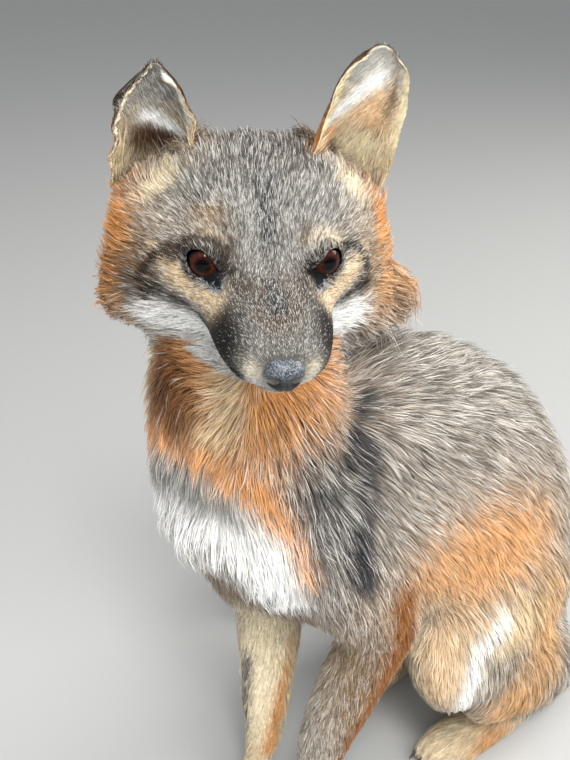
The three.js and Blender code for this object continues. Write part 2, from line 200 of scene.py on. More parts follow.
HEAD_COMB = [
    # bridge of the muzzle, forehead, crown and nape
    ((0, 7, 6), (0, 1, 0.3), 1.3, 0.22),
    ((0, 16, 11), (0, 1, 0.2), 1.6, 0.22),
    ((0, 30, 15), (0, 1, 0.15), 1.9, 0.24),
    ((0, 44, 19), (0, 0.85, 0.5), 2.6, 0.26),
    ((0, 58, 30), (0, 0.7, 0.7), 3.8, 0.28),
    ((0, 76, 43), (0, 0.9, 0.5), 5.5, 0.3),
    ((0, 94, 51), (0, 1, 0.15), 8, 0.34),
    ((0, 112, 48), (0, 1, -0.4), 11, 0.34),
    ((0, 126, 28), (0, 0.5, -0.9), 18, 0.36),
    # side of the muzzle and lips
    ((13, 8, -3), (0.3, 1, -0.2), 1.5, 0.22),
    ((18, 20, -3), (0.15, 1, -0.2), 1.7, 0.22),
    ((22, 34, -2), (0.25, 1, -0.15), 2.0, 0.24),
    ((12, 30, 13), (0.15, 1, 0.1), 1.8, 0.24),
    ((8, 4, -9), (0.7, 0.7, -0.5), 1.8, 0.22),
    ((16, 20, -12), (0.1, 1, -0.45), 2.0, 0.22),
    # round the eye
    ((14, 45, 12), (-0.1, 0.8, 0.5), 2.6, 0.22),
    ((24, 48, 3), (0.6, 0.75, -0.35), 3.2, 0.24),
    ((32, 53, 5), (0.8, 0.6, -0.15), 4.2, 0.26),
    ((40, 60, 8), (0.85, 0.55, 0), 5.5, 0.28),
    ((38, 64, 20), (0.8, 0.6, 0.2), 5, 0.28),
    ((25, 62, 29), (0.3, 0.75, 0.6), 4.2, 0.28),
    ((14, 58, 28), (0, 0.75, 0.65), 4.2, 0.28),
    # side of the forehead, temple and ear root
    ((22, 76, 41), (0.15, 0.85, 0.5), 6, 0.3),
    ((42, 80, 30), (0.5, 0.85, 0.25), 7, 0.3),
    ((36, 92, 43), (0.3, 0.85, 0.4), 8, 0.32),
    ((52, 90, 24), (0.55, 0.8, 0), 10, 0.34),
    ((48, 116, 20), (0.5, 0.6, -0.6), 18, 0.38),
    # front and inner side of the ear root
    ((42, 90, 37), (0.1, 0.65, 0.8), 15, 0.6),
    ((53, 93, 28), (0.2, 0.7, 0.7), 16, 0.6),
    ((27, 98, 50), (0.3, 0.45, 0.85), 13, 0.75),
    ((32, 103, 47), (0.4, 0.3, 0.9), 16, 0.85),
    ((31, 110, 49), (0.4, 0.3, 0.9), 15, 0.8),
    ((23, 107, 52), (0.3, 0.3, 0.9), 13, 0.75),
    # cheek and ruff
    ((44, 68, 2), (0.8, 0.6, -0.1), 8, 0.32),
    ((36, 59, -8), (0.75, 0.6, -0.2), 9, 0.33),
    ((46, 72, -18), (0.8, 0.55, -0.25), 14, 0.36),
    ((32, 60, -22), (0.7, 0.6, -0.35), 12, 0.34),
    ((58, 84, 4), (0.85, 0.5, -0.2), 16, 0.42),
    ((64, 90, -14), (0.9, 0.4, -0.3), 22, 0.5),
    ((58, 86, -34), (0.75, 0.35, -0.6), 22, 0.48),
    ((70, 100, -22), (0.85, 0.35, -0.45), 25, 0.52),
    ((58, 114, -18), (0.6, 0.55, -0.6), 24, 0.42),
    # jaw and throat
    ((10, 12, -16), (0.2, 1, -0.3), 3, 0.24),
    ((24, 52, -26), (0.5, 0.8, -0.35), 9, 0.32),
    ((0, 8, -16), (0, 1, -0.3), 3, 0.24),
    ((0, 40, -32), (0, 0.9, -0.5), 9, 0.32),
    ((0, 70, -48), (0, 0.6, -0.8), 16, 0.36),
]

BODY_COMB = [
    # neck and breast
    ((0, -97, 290), (0, -0.1, -1), 18, 0.41),
    ((0, -99, 255), (0, -0.1, -1), 19, 0.43),
    ((48, -55, 290), (0.1, 0.2, -1), 18, 0.41),
    ((52, -40, 250), (0.1, 0.3, -1), 19, 0.41),
    ((0, 2, 318), (0, 0.6, -0.8), 19, 0.43),
    ((0, -100, 222), (0, 0, -1), 21, 0.5),
    ((0, -80, 184), (0, 0.3, -1), 21, 0.5),
    ((45, -72, 210), (0.1, 0.15, -1), 19, 0.46),
    # back
    ((0, 12, 286), (0, 1, -0.2), 18, 0.41),
    ((0, 60, 284), (0, 1, -0.3), 20, 0.41),
    ((0, 110, 256), (0, 0.8, -0.6), 20, 0.41),
    ((0, 150, 216), (0, 0.5, -0.85), 20, 0.41),
    ((0, 192, 120), (0, 0.1, -1), 20, 0.41),
    # shoulder, ribs and flank
    ((58, -25, 240), (0.1, 0.4, -0.9), 16, 0.38),
    ((62, -34, 185), (0.1, 0.2, -1), 13, 0.36),
    ((64, 16, 232), (0.1, 0.7, -0.75), 17, 0.4),
    ((66, 60, 204), (0.1, 0.7, -0.7), 17, 0.4),
    ((64, 104, 190), (0.1, 0.5, -0.85), 18, 0.4),
    ((58, 142, 170), (0.1, 0.3, -0.95), 18, 0.4),
    ((62, 30, 160), (0, 0.5, -0.85), 15, 0.38),
    ((0, 60, 100), (0, 0.8, -0.5), 14, 0.41),
    # haunch and hind leg
    ((72, 90, 134), (0.1, 0.2, -1), 18, 0.38),
    ((72, 58, 104), (0.1, 0.1, -1), 14, 0.36),
    ((72, 130, 100), (0.1, 0.3, -1), 18, 0.38),
    ((58, 165, 70), (0.1, 0.2, -1), 18, 0.38),
    ((56, 34, 90), (0.2, 0, -1), 11, 0.36),
    ((72, 110, 46), (0.1, -0.3, -1), 11, 0.36),
    ((46, 84, 22), (0, -1, -0.3), 7, 0.25),
    ((40, 52, 12), (0, -1, -0.4), 4, 0.22),
    # foreleg
    ((64, -12, 156), (0, 0.05, -1), 11, 0.36),
    ((46, -12, 112), (0, -0.1, -1), 9, 0.27),
    ((38, -26, 80), (0, -0.2, -1), 7, 0.25),
    ((28, -38, 46), (0, -0.3, -1), 5.5, 0.24),
    ((25, -62, 12), (0, -1, -0.5), 4, 0.22),
    ((10, -64, 12), (0, -1, -0.5), 4, 0.22),
]

TAIL_PATH = np.array([
    (0, 190, 40), (-34, 214, 42), (-82, 226, 42), (-126, 208, 42), (-150, 166, 42), (-153, 122, 36),
    (-148, 88, 24),
], float)
TAIL_HAIR = 34                              # mm
TAIL_LIFT = 0.44


def both_sides(rows):
    """Adds each row's mirror image across the middle plane."""
    flip = np.array((-1, 1, 1))
    return rows + [(flip * place, flip * lie, *rest) for place, lie, *rest in rows if place[0]]


def make_chart():
    head = both_sides(HEAD_COMB)
    body = both_sides(BODY_COMB)
    places = np.array([row[0] for row in head], float)
    lies = np.array([row[1] for row in head], float)
    return {
        "places": np.vstack([head_to_fox(places), np.array([row[0] for row in body], float)]),
        "lies": unit(np.vstack([lies @ HEAD_TURN.T, np.array([row[1] for row in body], float)])),
        "sizes": np.array([row[2:4] for row in head + body], float),
    }


CHART = make_chart()
CHUNK = 20000                               # points at a time, to spare memory
CHART_SOFTNESS = 5                          # mm within which guides blend evenly


def combed(points, on_tail):
    """The way the hair runs, its length and its lift at each point."""
    lies = np.empty((len(points), 3))
    sizes = np.empty((len(points), 2))
    for start in range(0, len(points), CHUNK):
        part = slice(start, start + CHUNK)
        gaps = ((points[part, None] - CHART["places"][None]) ** 2).sum(-1) + CHART_SOFTNESS ** 2
        weights = gaps ** -2
        weights /= weights.sum(1, keepdims=True)
        lies[part] = weights @ CHART["lies"]
        sizes[part] = weights @ CHART["sizes"]
    if on_tail.any():
        lies[on_tail], _ = along_tail(points[on_tail])
        sizes[on_tail] = (TAIL_HAIR, TAIL_LIFT)
    return unit(lies), sizes[:, 0], sizes[:, 1]


def along_tail(points):
    """The tail's direction beside each point, and how far along the tail it is, 0 to 1."""
    fine = np.linspace(0, len(TAIL_PATH) - 1, 121)
    path = np.stack([np.interp(fine, range(len(TAIL_PATH)), axis) for axis in TAIL_PATH.T], 1)
    ways = unit(np.gradient(path, axis=0))
    nearest = ((points[:, None] - path[None]) ** 2).sum(-1).argmin(1)
    return ways[nearest], nearest / (len(path) - 1)


# ---- eyes: where they look and how their lids open -----------------------------------------------
EYE_AHEAD = (0.45, -0.86, 0.24)             # left eye, in the head's axes
EYE_CORNERS = (0.79, 0.51, 0.35)            # from its inner to its outer corner


def make_eye(side, node):
    low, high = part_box(node)
    centre = scene_to_fox((np.array(low) + np.array(high)) / 2)
    mirror = np.array((side, 1, 1))
    ahead = unit(mirror * EYE_AHEAD)
    across = mirror * EYE_CORNERS
    across = unit(across - ahead * (across @ ahead))
    up = np.cross(ahead, across) * side
    return {
        "side": side, "node": node, "centre": fox_to_head(centre[None])[0],
        "radius": (high - low)[2] / 2 / MM, "ahead": ahead, "across": across, "up": up,
    }


EYES = [make_eye(1, "eye_left"), make_eye(-1, "eye_right")]
LID_POINTS = np.array([                     # of the eye's opening, from its outer corner: across, up
    (6.8, -0.4), (5.3, 3.3), (1.0, 5.2), (-3.6, 4.0), (-7.6, 1.2), (-10.7, -1.6), (-13.0, -3.8),
    (-9.2, -4.7), (-5.0, -5.2), (-1.0, -5.3), (3.4, -3.7),
])
LID_MIDDLE = (-2.8, -0.3)
EYE_BACK = -4                               # mm ahead of the eye's middle, where its lids end
FAR_OUT = 50                                # mm, the gap given for places behind that
RIM_WIDTH, INNER_RIM = 0.7, 1.1             # mm of bare lid, and more at the inner corner


def lid_outline(turns):
    """The edge of the eye's opening at shares of a turn: a smooth closed curve through LID_POINTS."""
    count = len(LID_POINTS)
    place = turns * count
    first = np.floor(place).astype(int)
    t = (place - first)[:, None]
    before, start, end, after = (LID_POINTS[(first + step) % count] for step in (-1, 0, 1, 2))
    straight, square = end - before, 2 * before - 5 * start + 4 * end - after
    cube = 3 * start - before - 3 * end + after
    return start + 0.5 * (straight * t + square * t ** 2 + cube * t ** 3)


def eye_view(eye, head_points):
    """Points as across, up and ahead of an eye's centre."""
    axes = np.stack([eye["across"], eye["up"], eye["ahead"]], 1)
    return (head_points - eye["centre"]) @ axes


def lid_gap(eye, head_points):
    """How far outside the lids' edge each point is, seen from ahead of the eye."""
    seen = eye_view(eye, head_points)
    outline = lid_outline(np.linspace(0, 1, 89)[:-1])
    middle = np.array(LID_MIDDLE)
    away = seen[:, :2] - middle
    bearing = np.arctan2(away[:, 1], away[:, 0])
    edge = outline - middle
    edge_bearing = np.arctan2(edge[:, 1], edge[:, 0])
    order = np.argsort(edge_bearing)
    edge_reach = np.linalg.norm(edge, axis=1)[order]
    reach = np.interp(bearing, edge_bearing[order], edge_reach, period=2 * np.pi)
    gap = np.linalg.norm(away, axis=1) - reach
    return np.where(seen[:, 2] > EYE_BACK, gap, FAR_OUT)


def bare_rim_gap(eye, head_points):
    """How far outside the lids' bare rim, widest below its inner corner, each point is."""
    seen = eye_view(eye, head_points)
    inner = smooth_step(-seen[:, 0], 1, 9) * smooth_step(-seen[:, 1], 0, 4)
    return lid_gap(eye, head_points) - RIM_WIDTH - INNER_RIM * inner


# ---- the mouth -----------------------------------------------------------------------------------
MOUTH_LINE = [
    (0, 1, -12), (7, 3, -13), (13, 10, -13.5), (18, 22, -14.5), (22, 34, -17), (25, 46, -21),
]


def path_gap(points, path):
    """Distance from each point to a line of straight lengths."""
    path = np.asarray(path, float)
    best = np.full(len(points), 1e9)
    for start, end in zip(path[:-1], path[1:]):
        along = end - start
        share = np.clip(((points - start) @ along) / (along @ along), 0, 1)
        best = np.minimum(best, np.linalg.norm(points - start - share[:, None] * along, axis=1))
    return best


def mirrored(points):
    """Places with the right side folded onto the left."""
    return np.abs(points * (1, 0, 0)) + points * (0, 1, 1)


# ---- markings ------------------------------------------------------------------------------------
# Laid over one another in order. A patch is a soft-edged ellipsoid: its place, its reach each way,
# its colour and how grizzled it is. A stripe follows a line: its points, half-width, colour and
# grizzle. A row that begins at x < 0 is for the right side alone, any other row for both sides.

HEAD_PATCHES = [
    ("crown", (0, 94, 50), (44, 26, 20), mix(DARK_GREY, BROWN, 0.25), 0.95),
    ("temple", (46, 76, 20), (14, 14, 12), mix(GREY, TAN, 0.25), 0.95),
    ("ear root", (45, 92, 36), (15, 8, 11), CREAM * 0.9, 0.05),
    ("inner ear root", (29, 102, 50), (8, 7, 9), mix(TAN, BROWN, 0.5), 0.7),
    ("cheek grizzle", (47, 73, -1), (8, 14, 15), mix(CHARCOAL, BROWN, 0.6), 0.6),
    # The ruff is rust with cream; the right-side row paints the right ruff browner and darker, a
    # painted shade on that side, while the paler left ruff is partly painted light.
    ("ruff", (73, 92, -13), (21, 24, 28), mix(RUST, CREAM, 0.25), 0.03),
    ("right ruff", (-73, 92, -13), (21, 24, 28), mix(RUST, BROWN, 0.3), 0.05),
    ("ruff edge", (56, 81, -11), (9, 13, 18), mix(TAN, BROWN, 0.5), 0.8),
    ("right ruff edge", (-55, 83, -14), (8, 11, 19), mix(CHARCOAL, BROWN, 0.75), 0.3),
    ("below the ear", (60, 92, 16), (8, 10, 11), RUST, 0.15),
    ("behind the ear", (54, 118, 8), (24, 16, 26), RUST, 0.15),
    ("jaw side", (22, 52, -30), (10, 14, 7), mix(WHITE, GREY, 0.3), 0.3),
    ("muzzle side", (22, 26, 0), (13, 24, 15), paint(17, 14, 14), 0.05),
    ("muzzle top", (0, 22, 14), (11, 26, 6), mix(CHARCOAL, BROWN, 0.6), 0.7),
    ("bridge side", (13, 42, 12), (5.5, 12, 6), mix(CHARCOAL, BROWN, 0.35) * 0.9, 0.5),
    ("brow", (25, 59, 22), (9, 5, 3.2), mix(TAN, CREAM, 0.6), 0.4),
    ("right brow", (-25, 64, 30), (9, 6, 5), mix(BROWN, TAN, 0.4), 0.85),
    ("beside the nose", (10.5, 6, -4), (4.5, 6, 5), mix(CREAM, WHITE, 0.2) * 0.95, 0.2),
    ("upper lip", (8, 3, -9), (10, 6, 4), WHITE * 0.9, 0.15),
    ("lip side", (16, 14, -8), (4, 9, 5), CHARCOAL * 0.6, 0.2),
    ("chin side", (12, 18, -18), (6, 13, 4), CHARCOAL, 0.2),
    ("chin", (0, 10, -19), (7, 14, 4), CREAM, 0.1),
    ("nose edge", (0, 7, -3), (9.6, 8.6, 8.2), BLACK, 0.0),
]

HEAD_STRIPES = [
    ("bridge", [(0, 24, 14), (0, 54, 26), (0, 72, 40)], 4.2, mix(CHARCOAL, DARK_GREY, 0.3), 0.85),
    ("under the eye", [(21, 38, 5), (27, 48, 5), (36, 57, 8)], 5.5, mix(CREAM, TAN, 0.8) * 0.92, 0.8),
    ("outer corner", [(34, 58, 10), (40, 62, 12), (45, 69, 14)], 3.2, mix(TAN, CREAM, 0.3), 0.5),
    ("white cheek", [(25, 46, -14), (34, 60, -18), (44, 72, -21), (50, 80, -30)], 9.5, WHITE, 0.0),
    ("cheek line", [(22, 36, -5), (28, 46, -6), (36, 57, -5), (44, 67, -4), (48, 75, -11)], 3,
     BLACK, 0.1),
    ("corner line", [(31, 60, 18), (36, 63, 18), (42, 66, 13), (47, 71, 3), (49, 77, -6)], 2.6,
     BLACK, 0.1),
    ("brow line", [(15, 55, 19), (16, 60, 27)], 2, mix(BLACK, BROWN, 0.6), 0.3),
    ("inner lid", [(24, 54, 20), (19, 51, 18), (16, 47, 14)], 1.8, mix(BLACK, BROWN, 0.25), 0.1),
    ("right upper lid", [(-19, 53, 19), (-25, 56, 22), (-31, 60, 21.5), (-37, 63, 16)], 4.6,
     mix(BLACK, BROWN, 0.3), 0.15),
    ("tear line", [(18, 50, 14), (16, 46, 12)], 1.1, BLACK, 0.1),
]

BODY_PATCHES = [
    ("neck", (0, -62, 296), (75, 48, 46), RUST, 0.1),
    ("shoulder", (54, -44, 222), (16, 24, 44), mix(GREY, DARK_GREY, 0.8), 1.0),
    # Painted shade: the right side of the throat is painted dark rust, shade under the chin and
    # cheek.
    ("shade right of the throat", (-5, -99, 284), (27, 26, 36), DEEP_RUST * 0.5, 0.1),
    ("nape", (0, 0, 320), (50, 34, 26), mix(GREY, RUST, 0.4), 0.7),
    ("flank", (63, 64, 164), (22, 66, 34), mix(RUST, CREAM, 0.22), 0.08),
    ("haunch", (72, 122, 98), (22, 26, 44), mix(TAN, RUST, 0.3), 0.2),
    ("thigh", (74, 84, 116), (20, 30, 16), mix(TAN, CREAM, 0.3), 0.05),
    ("stifle", (60, 36, 104), (16, 20, 36), mix(RUST, CREAM, 0.6), 0.1),
    ("shank", (66, 98, 50), (20, 22, 22), mix(RUST, TAN, 0.6), 0.3),
    ("belly", (0, 50, 100), (46, 60, 30), CREAM, 0.05),
    ("breast", (0, -92, 226), (30, 30, 26), WHITE, 0.05),
    # Painted shade: dark brown-rust below the white bib, where shade falls under it.
    ("shade under the bib", (6, -58, 156), (40, 36, 26), mix(DEEP_RUST, BROWN, 0.3) * 0.45, 0.05),
    ("foreleg", (44, -10, 110), (20, 20, 54), mix(BROWN, TAN, 0.3), 0.65),
    ("right foreleg", (-14, -32, 80), (26, 30, 56), CREAM, 0.05),
    ("forefoot", (25, -50, 18), (20, 26, 26), mix(BROWN, TAN, 0.7), 0.5),
    ("right forefoot", (-10, -52, 18), (18, 26, 26), mix(CREAM, TAN, 0.5), 0.2),
    ("hind foot", (42, 80, 12), (22, 50, 18), mix(TAN, CREAM, 0.7), 0.1),
    ("heel", (60, 96, 12), (9, 20, 12), mix(RUST, TAN, 0.3), 0.1),
]

BODY_STRIPES = [
    ("back", [(0, 20, 292), (0, 70, 288), (0, 115, 268), (0, 155, 222), (0, 186, 150),
      (0, 196, 90)], 9, CHARCOAL, 0.5),
    ("throat", [(31, -86, 302), (31, -86, 284), (26, -93, 270)], 10, mix(TAN, CREAM, 0.2), 0.3),
    ("collar", [(0, -101, 264), (28, -92, 258), (42, -76, 246), (48, -66, 226), (52, -58, 198)], 8,
     RUST, 0.05),
    ("bib", [(0, -98, 240), (24, -92, 226), (36, -70, 204), (34, -60, 182)], 17, WHITE, 0.06),
    ("bib shade", [(2, -100, 246), (16, -96, 242), (30, -86, 236)], 9, mix(GREY, SILVER, 0.15), 0.3),
    # Painted shadow: the shoulder and side creases are painted dark slate, shade in the folds between
    # neck, shoulder and trunk.
    ("shoulder crease shadow", [(30, 3, 272), (38, -14, 262), (44, -26, 248)], 6,
     mix(CREASE_SHADOW, GREY, 0.1), 0.3),
    ("side crease shadow", [(46, -10, 256), (53, -14, 239), (59, -20, 226), (63, -30, 208),
      (65, -28, 190)], 7, mix(CREASE_SHADOW, GREY, 0.1), 0.3),
    ("foreleg stripe", [(64, 0, 168), (60, 6, 140), (52, 4, 108), (44, -10, 66), (36, -20, 40)], 10,
     mix(DEEP_RUST, RUST, 0.1) * 0.9, 0.1),
    ("foreleg inside", [(44, 24, 112), (38, 12, 80), (30, -6, 50)], 8, CREAM, 0.05),
    ("hind stripe", [(71, 77, 124), (72, 54, 106), (71, 48, 80), (60, 62, 44)], 6, WHITE, 0.0),
    ("right foreleg edge", [(-6, -14, 104), (-3, -26, 72), (-1, -38, 40)], 5,
     mix(RUST, TAN, 0.2), 0.05),
    ("right foreleg front", [(-25, -36, 92), (-22, -44, 60), (-18, -52, 34)], 5,
     mix(GREY, BROWN, 0.4), 0.8),
]

EYELINER = 0.5                              # mm
# Pale grey-blue of the lower lids' bare rims: a painted sheen of the wet lid.
LOWER_RIM_SHEEN = paint(146, 154, 166)
LIP_WIDTH = 1.5                             # mm of black either side of the mouth
PATCH_EDGE = 5                              # the higher, the sharper a patch's edge
RAGGED = 1.32                               # mm by which the hair breaks up a marking's edge
BODY_COLOUR = mix(mix(GREY, SILVER, 0.16), TAN, 0.14)


def first_place(row):
    return np.atleast_2d(row[1])[0]


def patch_square(points, row):
    """How far points are from the middle of a patch, in its reach and squared."""
    return (((points - row[1]) / row[2]) ** 2).sum(1)


def patch_gap(points, row):
    return np.sqrt(patch_square(points, row))


def stripe_gap(points, row):
    """How far points are from the line of a stripe, in its half-width."""
    return path_gap(points, row[1]) / row[2]


def lay(gap, points, colours, grizzle, rows):
    """Lays patches or stripes, as gap says, over the colours and grizzle of points."""
    for row in rows:
        colour, salted = row[3:]
        share = 1 / (1 + gap(points, row) ** PATCH_EDGE)
        colours = mix(colours, colour, share)
        grizzle = grizzle * (1 - share) + salted * share
    return colours, grizzle


def lay_rows(points, laid, patches, stripes):
    """Lays both tables: rows that begin at x < 0 are for the right side alone."""
    folded = mirrored(points)
    for gap, rows in ((patch_gap, patches), (stripe_gap, stripes)):
        laid = lay(gap, folded, *laid, [row for row in rows if first_place(row)[0] >= 0])
        laid = lay(gap, points, *laid, [row for row in rows if first_place(row)[0] < 0])
    return laid


def pelt(points, rng):
    """The colour of the coat at places on the body, and how grizzled it is."""
    ragged = points + rng.normal(0, RAGGED, points.shape)
    laid = np.tile(BODY_COLOUR, (len(points), 1)), np.ones(len(points))
    return lay_rows(ragged, laid, BODY_PATCHES, BODY_STRIPES)


# The head's markings are sharp at the nose, and grow as ragged as the body's behind it.
RAGGED_FROM, RAGGED_OVER = 10, 60           # mm behind the nose tip
LEAST_RAGGED = 0.25


def head_pelt(points, rng):
    """The colour of the coat at places on the head, given in the fox's axes."""
    local = fox_to_head(points)
    fine = np.clip((local[:, 1] - RAGGED_FROM) / RAGGED_OVER, LEAST_RAGGED, 1)
    local = local + rng.normal(0, RAGGED, local.shape) * fine[:, None]
    laid = np.tile(GREY, (len(points), 1)), np.ones(len(points))
    colours, grizzle = lay_rows(local, laid, HEAD_PATCHES, HEAD_STRIPES)
    lips = 1 / (1 + (path_gap(mirrored(local), MOUTH_LINE) / LIP_WIDTH) ** 6)
    liner = np.zeros(len(points))
    for eye in EYES:
        liner = np.maximum(liner, 1 / (1 + (np.maximum(bare_rim_gap(eye, local), 0) / EYELINER) ** 4))
    dark = np.maximum(lips, liner)
    colours = mix(colours, BLACK, dark)
    # Painted sheen: a pale grey-blue band on the bare rim below each eye, in place of light on the
    # wet lid.
    for eye in EYES:
        below = smooth_step(-eye_view(eye, local)[:, 1], 0, 3)
        gap, beyond = lid_gap(eye, local), bare_rim_gap(eye, local)
        bare = smooth_step(gap, 0.2, 0.7) * smooth_step(-beyond, -0.4, 0.1)
        colours = mix(colours, LOWER_RIM_SHEEN, below * bare)
    return colours, grizzle * (1 - dark)


TAIL_TOP = 84                               # mm above the floor
RUSTY_BELOW = (0.2, 0.42)                   # of the tail's height, over which its rust ends
STRIPE_ABOVE = (0.7, 0.86)
BLACK_TIP = (0.78, 0.86)                    # of the tail's length, over which it turns black


def tail_pelt(points, rng):
    """Grey above with a black stripe, rusty below, and a black tip."""
    _, along = along_tail(points)
    height = (points[:, 2] + rng.normal(0, 3, len(points))) / TAIL_TOP
    colours = np.tile(mix(GREY, SILVER, 0.2), (len(points), 1))
    colours = mix(colours, RUST, 1 - smooth_step(height, *RUSTY_BELOW))
    stripe = smooth_step(height, *STRIPE_ABOVE)
    colours = mix(colours, BLACK, stripe)
    tip = smooth_step(along + rng.normal(0, 0.02, len(points)), *BLACK_TIP)
    colours = mix(colours, BLACK, tip)
    return colours, (1 - 0.8 * stripe) * (1 - tip) * smooth_step(height, 0.2, 0.5)


# ---- the skin ------------------------------------------------------------------------------------
VOXEL = 2.2                                 # mm, the size of the skin's squares
JOIN_SWELL = 0.9                            # mm, closes the gaps between the solids
LOWEST_SKIN = 0.4                           # mm above the floor
SHRINK_STEPS = 8
SHRINK_SMOOTHING = 3                        # rounds after each step
OUTLINE_SMOOTHING = 12                      # rounds before the skin is drawn in
DEEP_COAT = 5                               # mm of coat from which the skin is smoothed in full
TOES = [                                    # the middle of each paw's toes, and its half-width
    ((25, -60), 16), ((-9, -66), 15), ((40, 56), 16.5), ((-40, 56), 16.5),
]
PART_NAMES = sorted(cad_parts)
EAR_NODES = ("ear_left", "ear_right")
OWN_PIECES = ("eye_left", "eye_right", "nose_pad")
HEAD_PARTS = ("head", "jaw", *OWN_PIECES)
TAIL_PARTS = ("tail_base", "tail_mid", "tail_tip")


def cad_mesh(name, swell=0.0):
    """A node's corners, in the fox's axes, and faces, with its split corners joined again."""
    shape = bmesh.new()
    shape.from_mesh(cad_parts[name].data)
    bmesh.ops.remove_doubles(shape, verts=shape.verts, dist=1e-6)
    shape.normal_update()
    corners = scene_to_fox([vertex.co + vertex.normal * swell * MM for vertex in shape.verts])
    faces = [[vertex.index for vertex in face.verts] for face in shape.faces]
    shape.free()
    return corners, faces


def joined(meshes):
    """Several (corners, faces) as one."""
    corners, faces, count = [], [], 0
    for part_corners, part_faces in meshes:
        corners.append(np.asarray(part_corners, float))
        faces += [[index + count for index in face] for face in part_faces]
        count += len(part_corners)
    return np.vstack(corners), faces


def ring_faces(rings, sides, first=0):
    """The faces between neighbouring closed rings of corners, numbered from first."""
    faces = []
    for near in range(first, first + (rings - 1) * sides, sides):
        for side in range(sides):
            after = (side + 1) % sides
            faces.append([near + side, near + sides + side, near + sides + after, near + after])
    return faces


def turned_over(faces):
    """The same faces, seen from behind."""
    return [face[:1] + face[:0:-1] for face in faces]


def new_object(name, corners, faces):
    """A smooth-shaded object from places in the fox's axes."""
    mesh = bpy.data.meshes.new(name)
    mesh.from_pydata(fox_to_scene(corners).tolist(), [], faces)
    mesh.shade_smooth()
    return add_object(name, mesh)


def read_mesh(mesh):
    """A mesh's corners in the fox's axes, corner normals, edges and triangles."""
    count = len(mesh.vertices)
    corners = np.empty(count * 3, np.float32)
    mesh.vertices.foreach_get("co", corners)
    normals = np.empty(count * 3, np.float32)
    mesh.vertex_normals.foreach_get("vector", normals)
    edges = np.empty(len(mesh.edges) * 2, np.int32)
    mesh.edges.foreach_get("vertices", edges)
    mesh.calc_loop_triangles()
    triangles = np.empty(len(mesh.loop_triangles) * 3, np.int32)
    mesh.loop_triangles.foreach_get("vertices", triangles)
    return (
        scene_to_fox(corners.reshape(-1, 3)), normals.reshape(-1, 3).astype(float),
        edges.reshape(-1, 2), triangles.reshape(-1, 3),
    )


def write_corners(mesh, corners):
    mesh.vertices.foreach_set("co", fox_to_scene(corners).astype(np.float32).ravel())
    mesh.update()


def neighbour_mean(values, edges):
    count = np.bincount(edges.ravel(), minlength=len(values))
    total = np.stack([
        np.bincount(edges[:, 0], axis[edges[:, 1]], len(values))
        + np.bincount(edges[:, 1], axis[edges[:, 0]], len(values))
        for axis in values.T
    ], 1)
    return total / np.maximum(count, 1)[:, None]


def relaxed(corners, edges, rounds, share=None, strength=0.5):
    """Smooths without shrinking, by a share for each corner."""
    share = np.ones(len(corners)) if share is None else share
    for _ in range(rounds):
        for step in (strength, -strength * 1.04):
            corners = corners + step * share[:, None] * (neighbour_mean(corners, edges) - corners)
    return corners


def nearest_parts(points):
    """The index in PART_NAMES of the solid nearest to each point."""
    meshes = [cad_mesh(name) for name in PART_NAMES]
    corners, faces = joined(meshes)
    owner = np.repeat(np.arange(len(meshes)), [len(mesh[1]) for mesh in meshes])
    tree = BVHTree.FromPolygons(corners.tolist(), faces)
    return np.array([owner[tree.find_nearest(point)[2]] for point in points.tolist()])


def voxel_mesh(corners, faces):
    """One closed skin of even squares round closed meshes that overlap."""
    solids = new_object("solids", corners, faces)
    remesh = solids.modifiers.new("union", "REMESH")
    remesh.mode = "VOXEL"
    remesh.voxel_size = VOXEL * MM
    evaluated = solids.evaluated_get(bpy.context.evaluated_depsgraph_get())
    mesh = bpy.data.meshes.new_from_object(evaluated)
    bpy.data.objects.remove(solids)
    return mesh


def united_solids():
    """All the solids but the ears, as one closed mesh."""
    names = [name for name in PART_NAMES if name not in EAR_NODES]
    return voxel_mesh(*joined([cad_mesh(name, JOIN_SWELL) for name in names]))


def is_part(parts, *names):
    return np.isin(parts, [PART_NAMES.index(name) for name in names])


def shrunk_skin(mesh):
    """Draws the outline of the coat in to the skin beneath it."""
    corners, _, edges, _ = read_mesh(mesh)
    corners = relaxed(corners, edges, OUTLINE_SMOOTHING)
    write_corners(mesh, corners)
    parts = nearest_parts(corners)
    on_tail = is_part(parts, *TAIL_PARTS)
    _, length, lift = combed(corners, on_tail)
    depth = neighbour_mean((length * lift)[:, None], edges)[:, 0]
    for _ in range(SHRINK_STEPS):
        corners, normals, _, _ = read_mesh(mesh)
        corners = corners - normals * depth[:, None] / SHRINK_STEPS
        soft = np.minimum(depth / DEEP_COAT, 1)[:, None]
        for _ in range(SHRINK_SMOOTHING):
            corners = corners + 0.5 * soft * (neighbour_mean(corners, edges) - corners)
        write_corners(mesh, corners)


def refined(mesh, wanted):
    """Splits the faces in four where wanted says so for a corner."""
    shape = bmesh.new()
    shape.from_mesh(mesh)
    places = fox_to_head(scene_to_fox([vertex.co for vertex in shape.verts]))
    chosen = wanted(places)
    edges = [edge for edge in shape.edges if all(chosen[vertex.index] for vertex in edge.verts)]
    bmesh.ops.subdivide_edges(shape, edges=edges, cuts=1, use_grid_fill=True)
    shape.to_mesh(mesh)
    shape.free()
    mesh.update()


FACE_BACK, FACE_SIDE, FACE_LOW = 92, 56, -34  # mm, the limits of the face's finer skin
FINE_EYE, FINE_MOUTH, FINE_NOSE = 17, 5, 15   # mm round each, where the skin is finest
FACE_SMOOTHING = 5                            # rounds


def face_region(head_points):
    x, y, z = head_points.T
    return (y < FACE_BACK) & (np.abs(x) < FACE_SIDE) & (z > FACE_LOW)


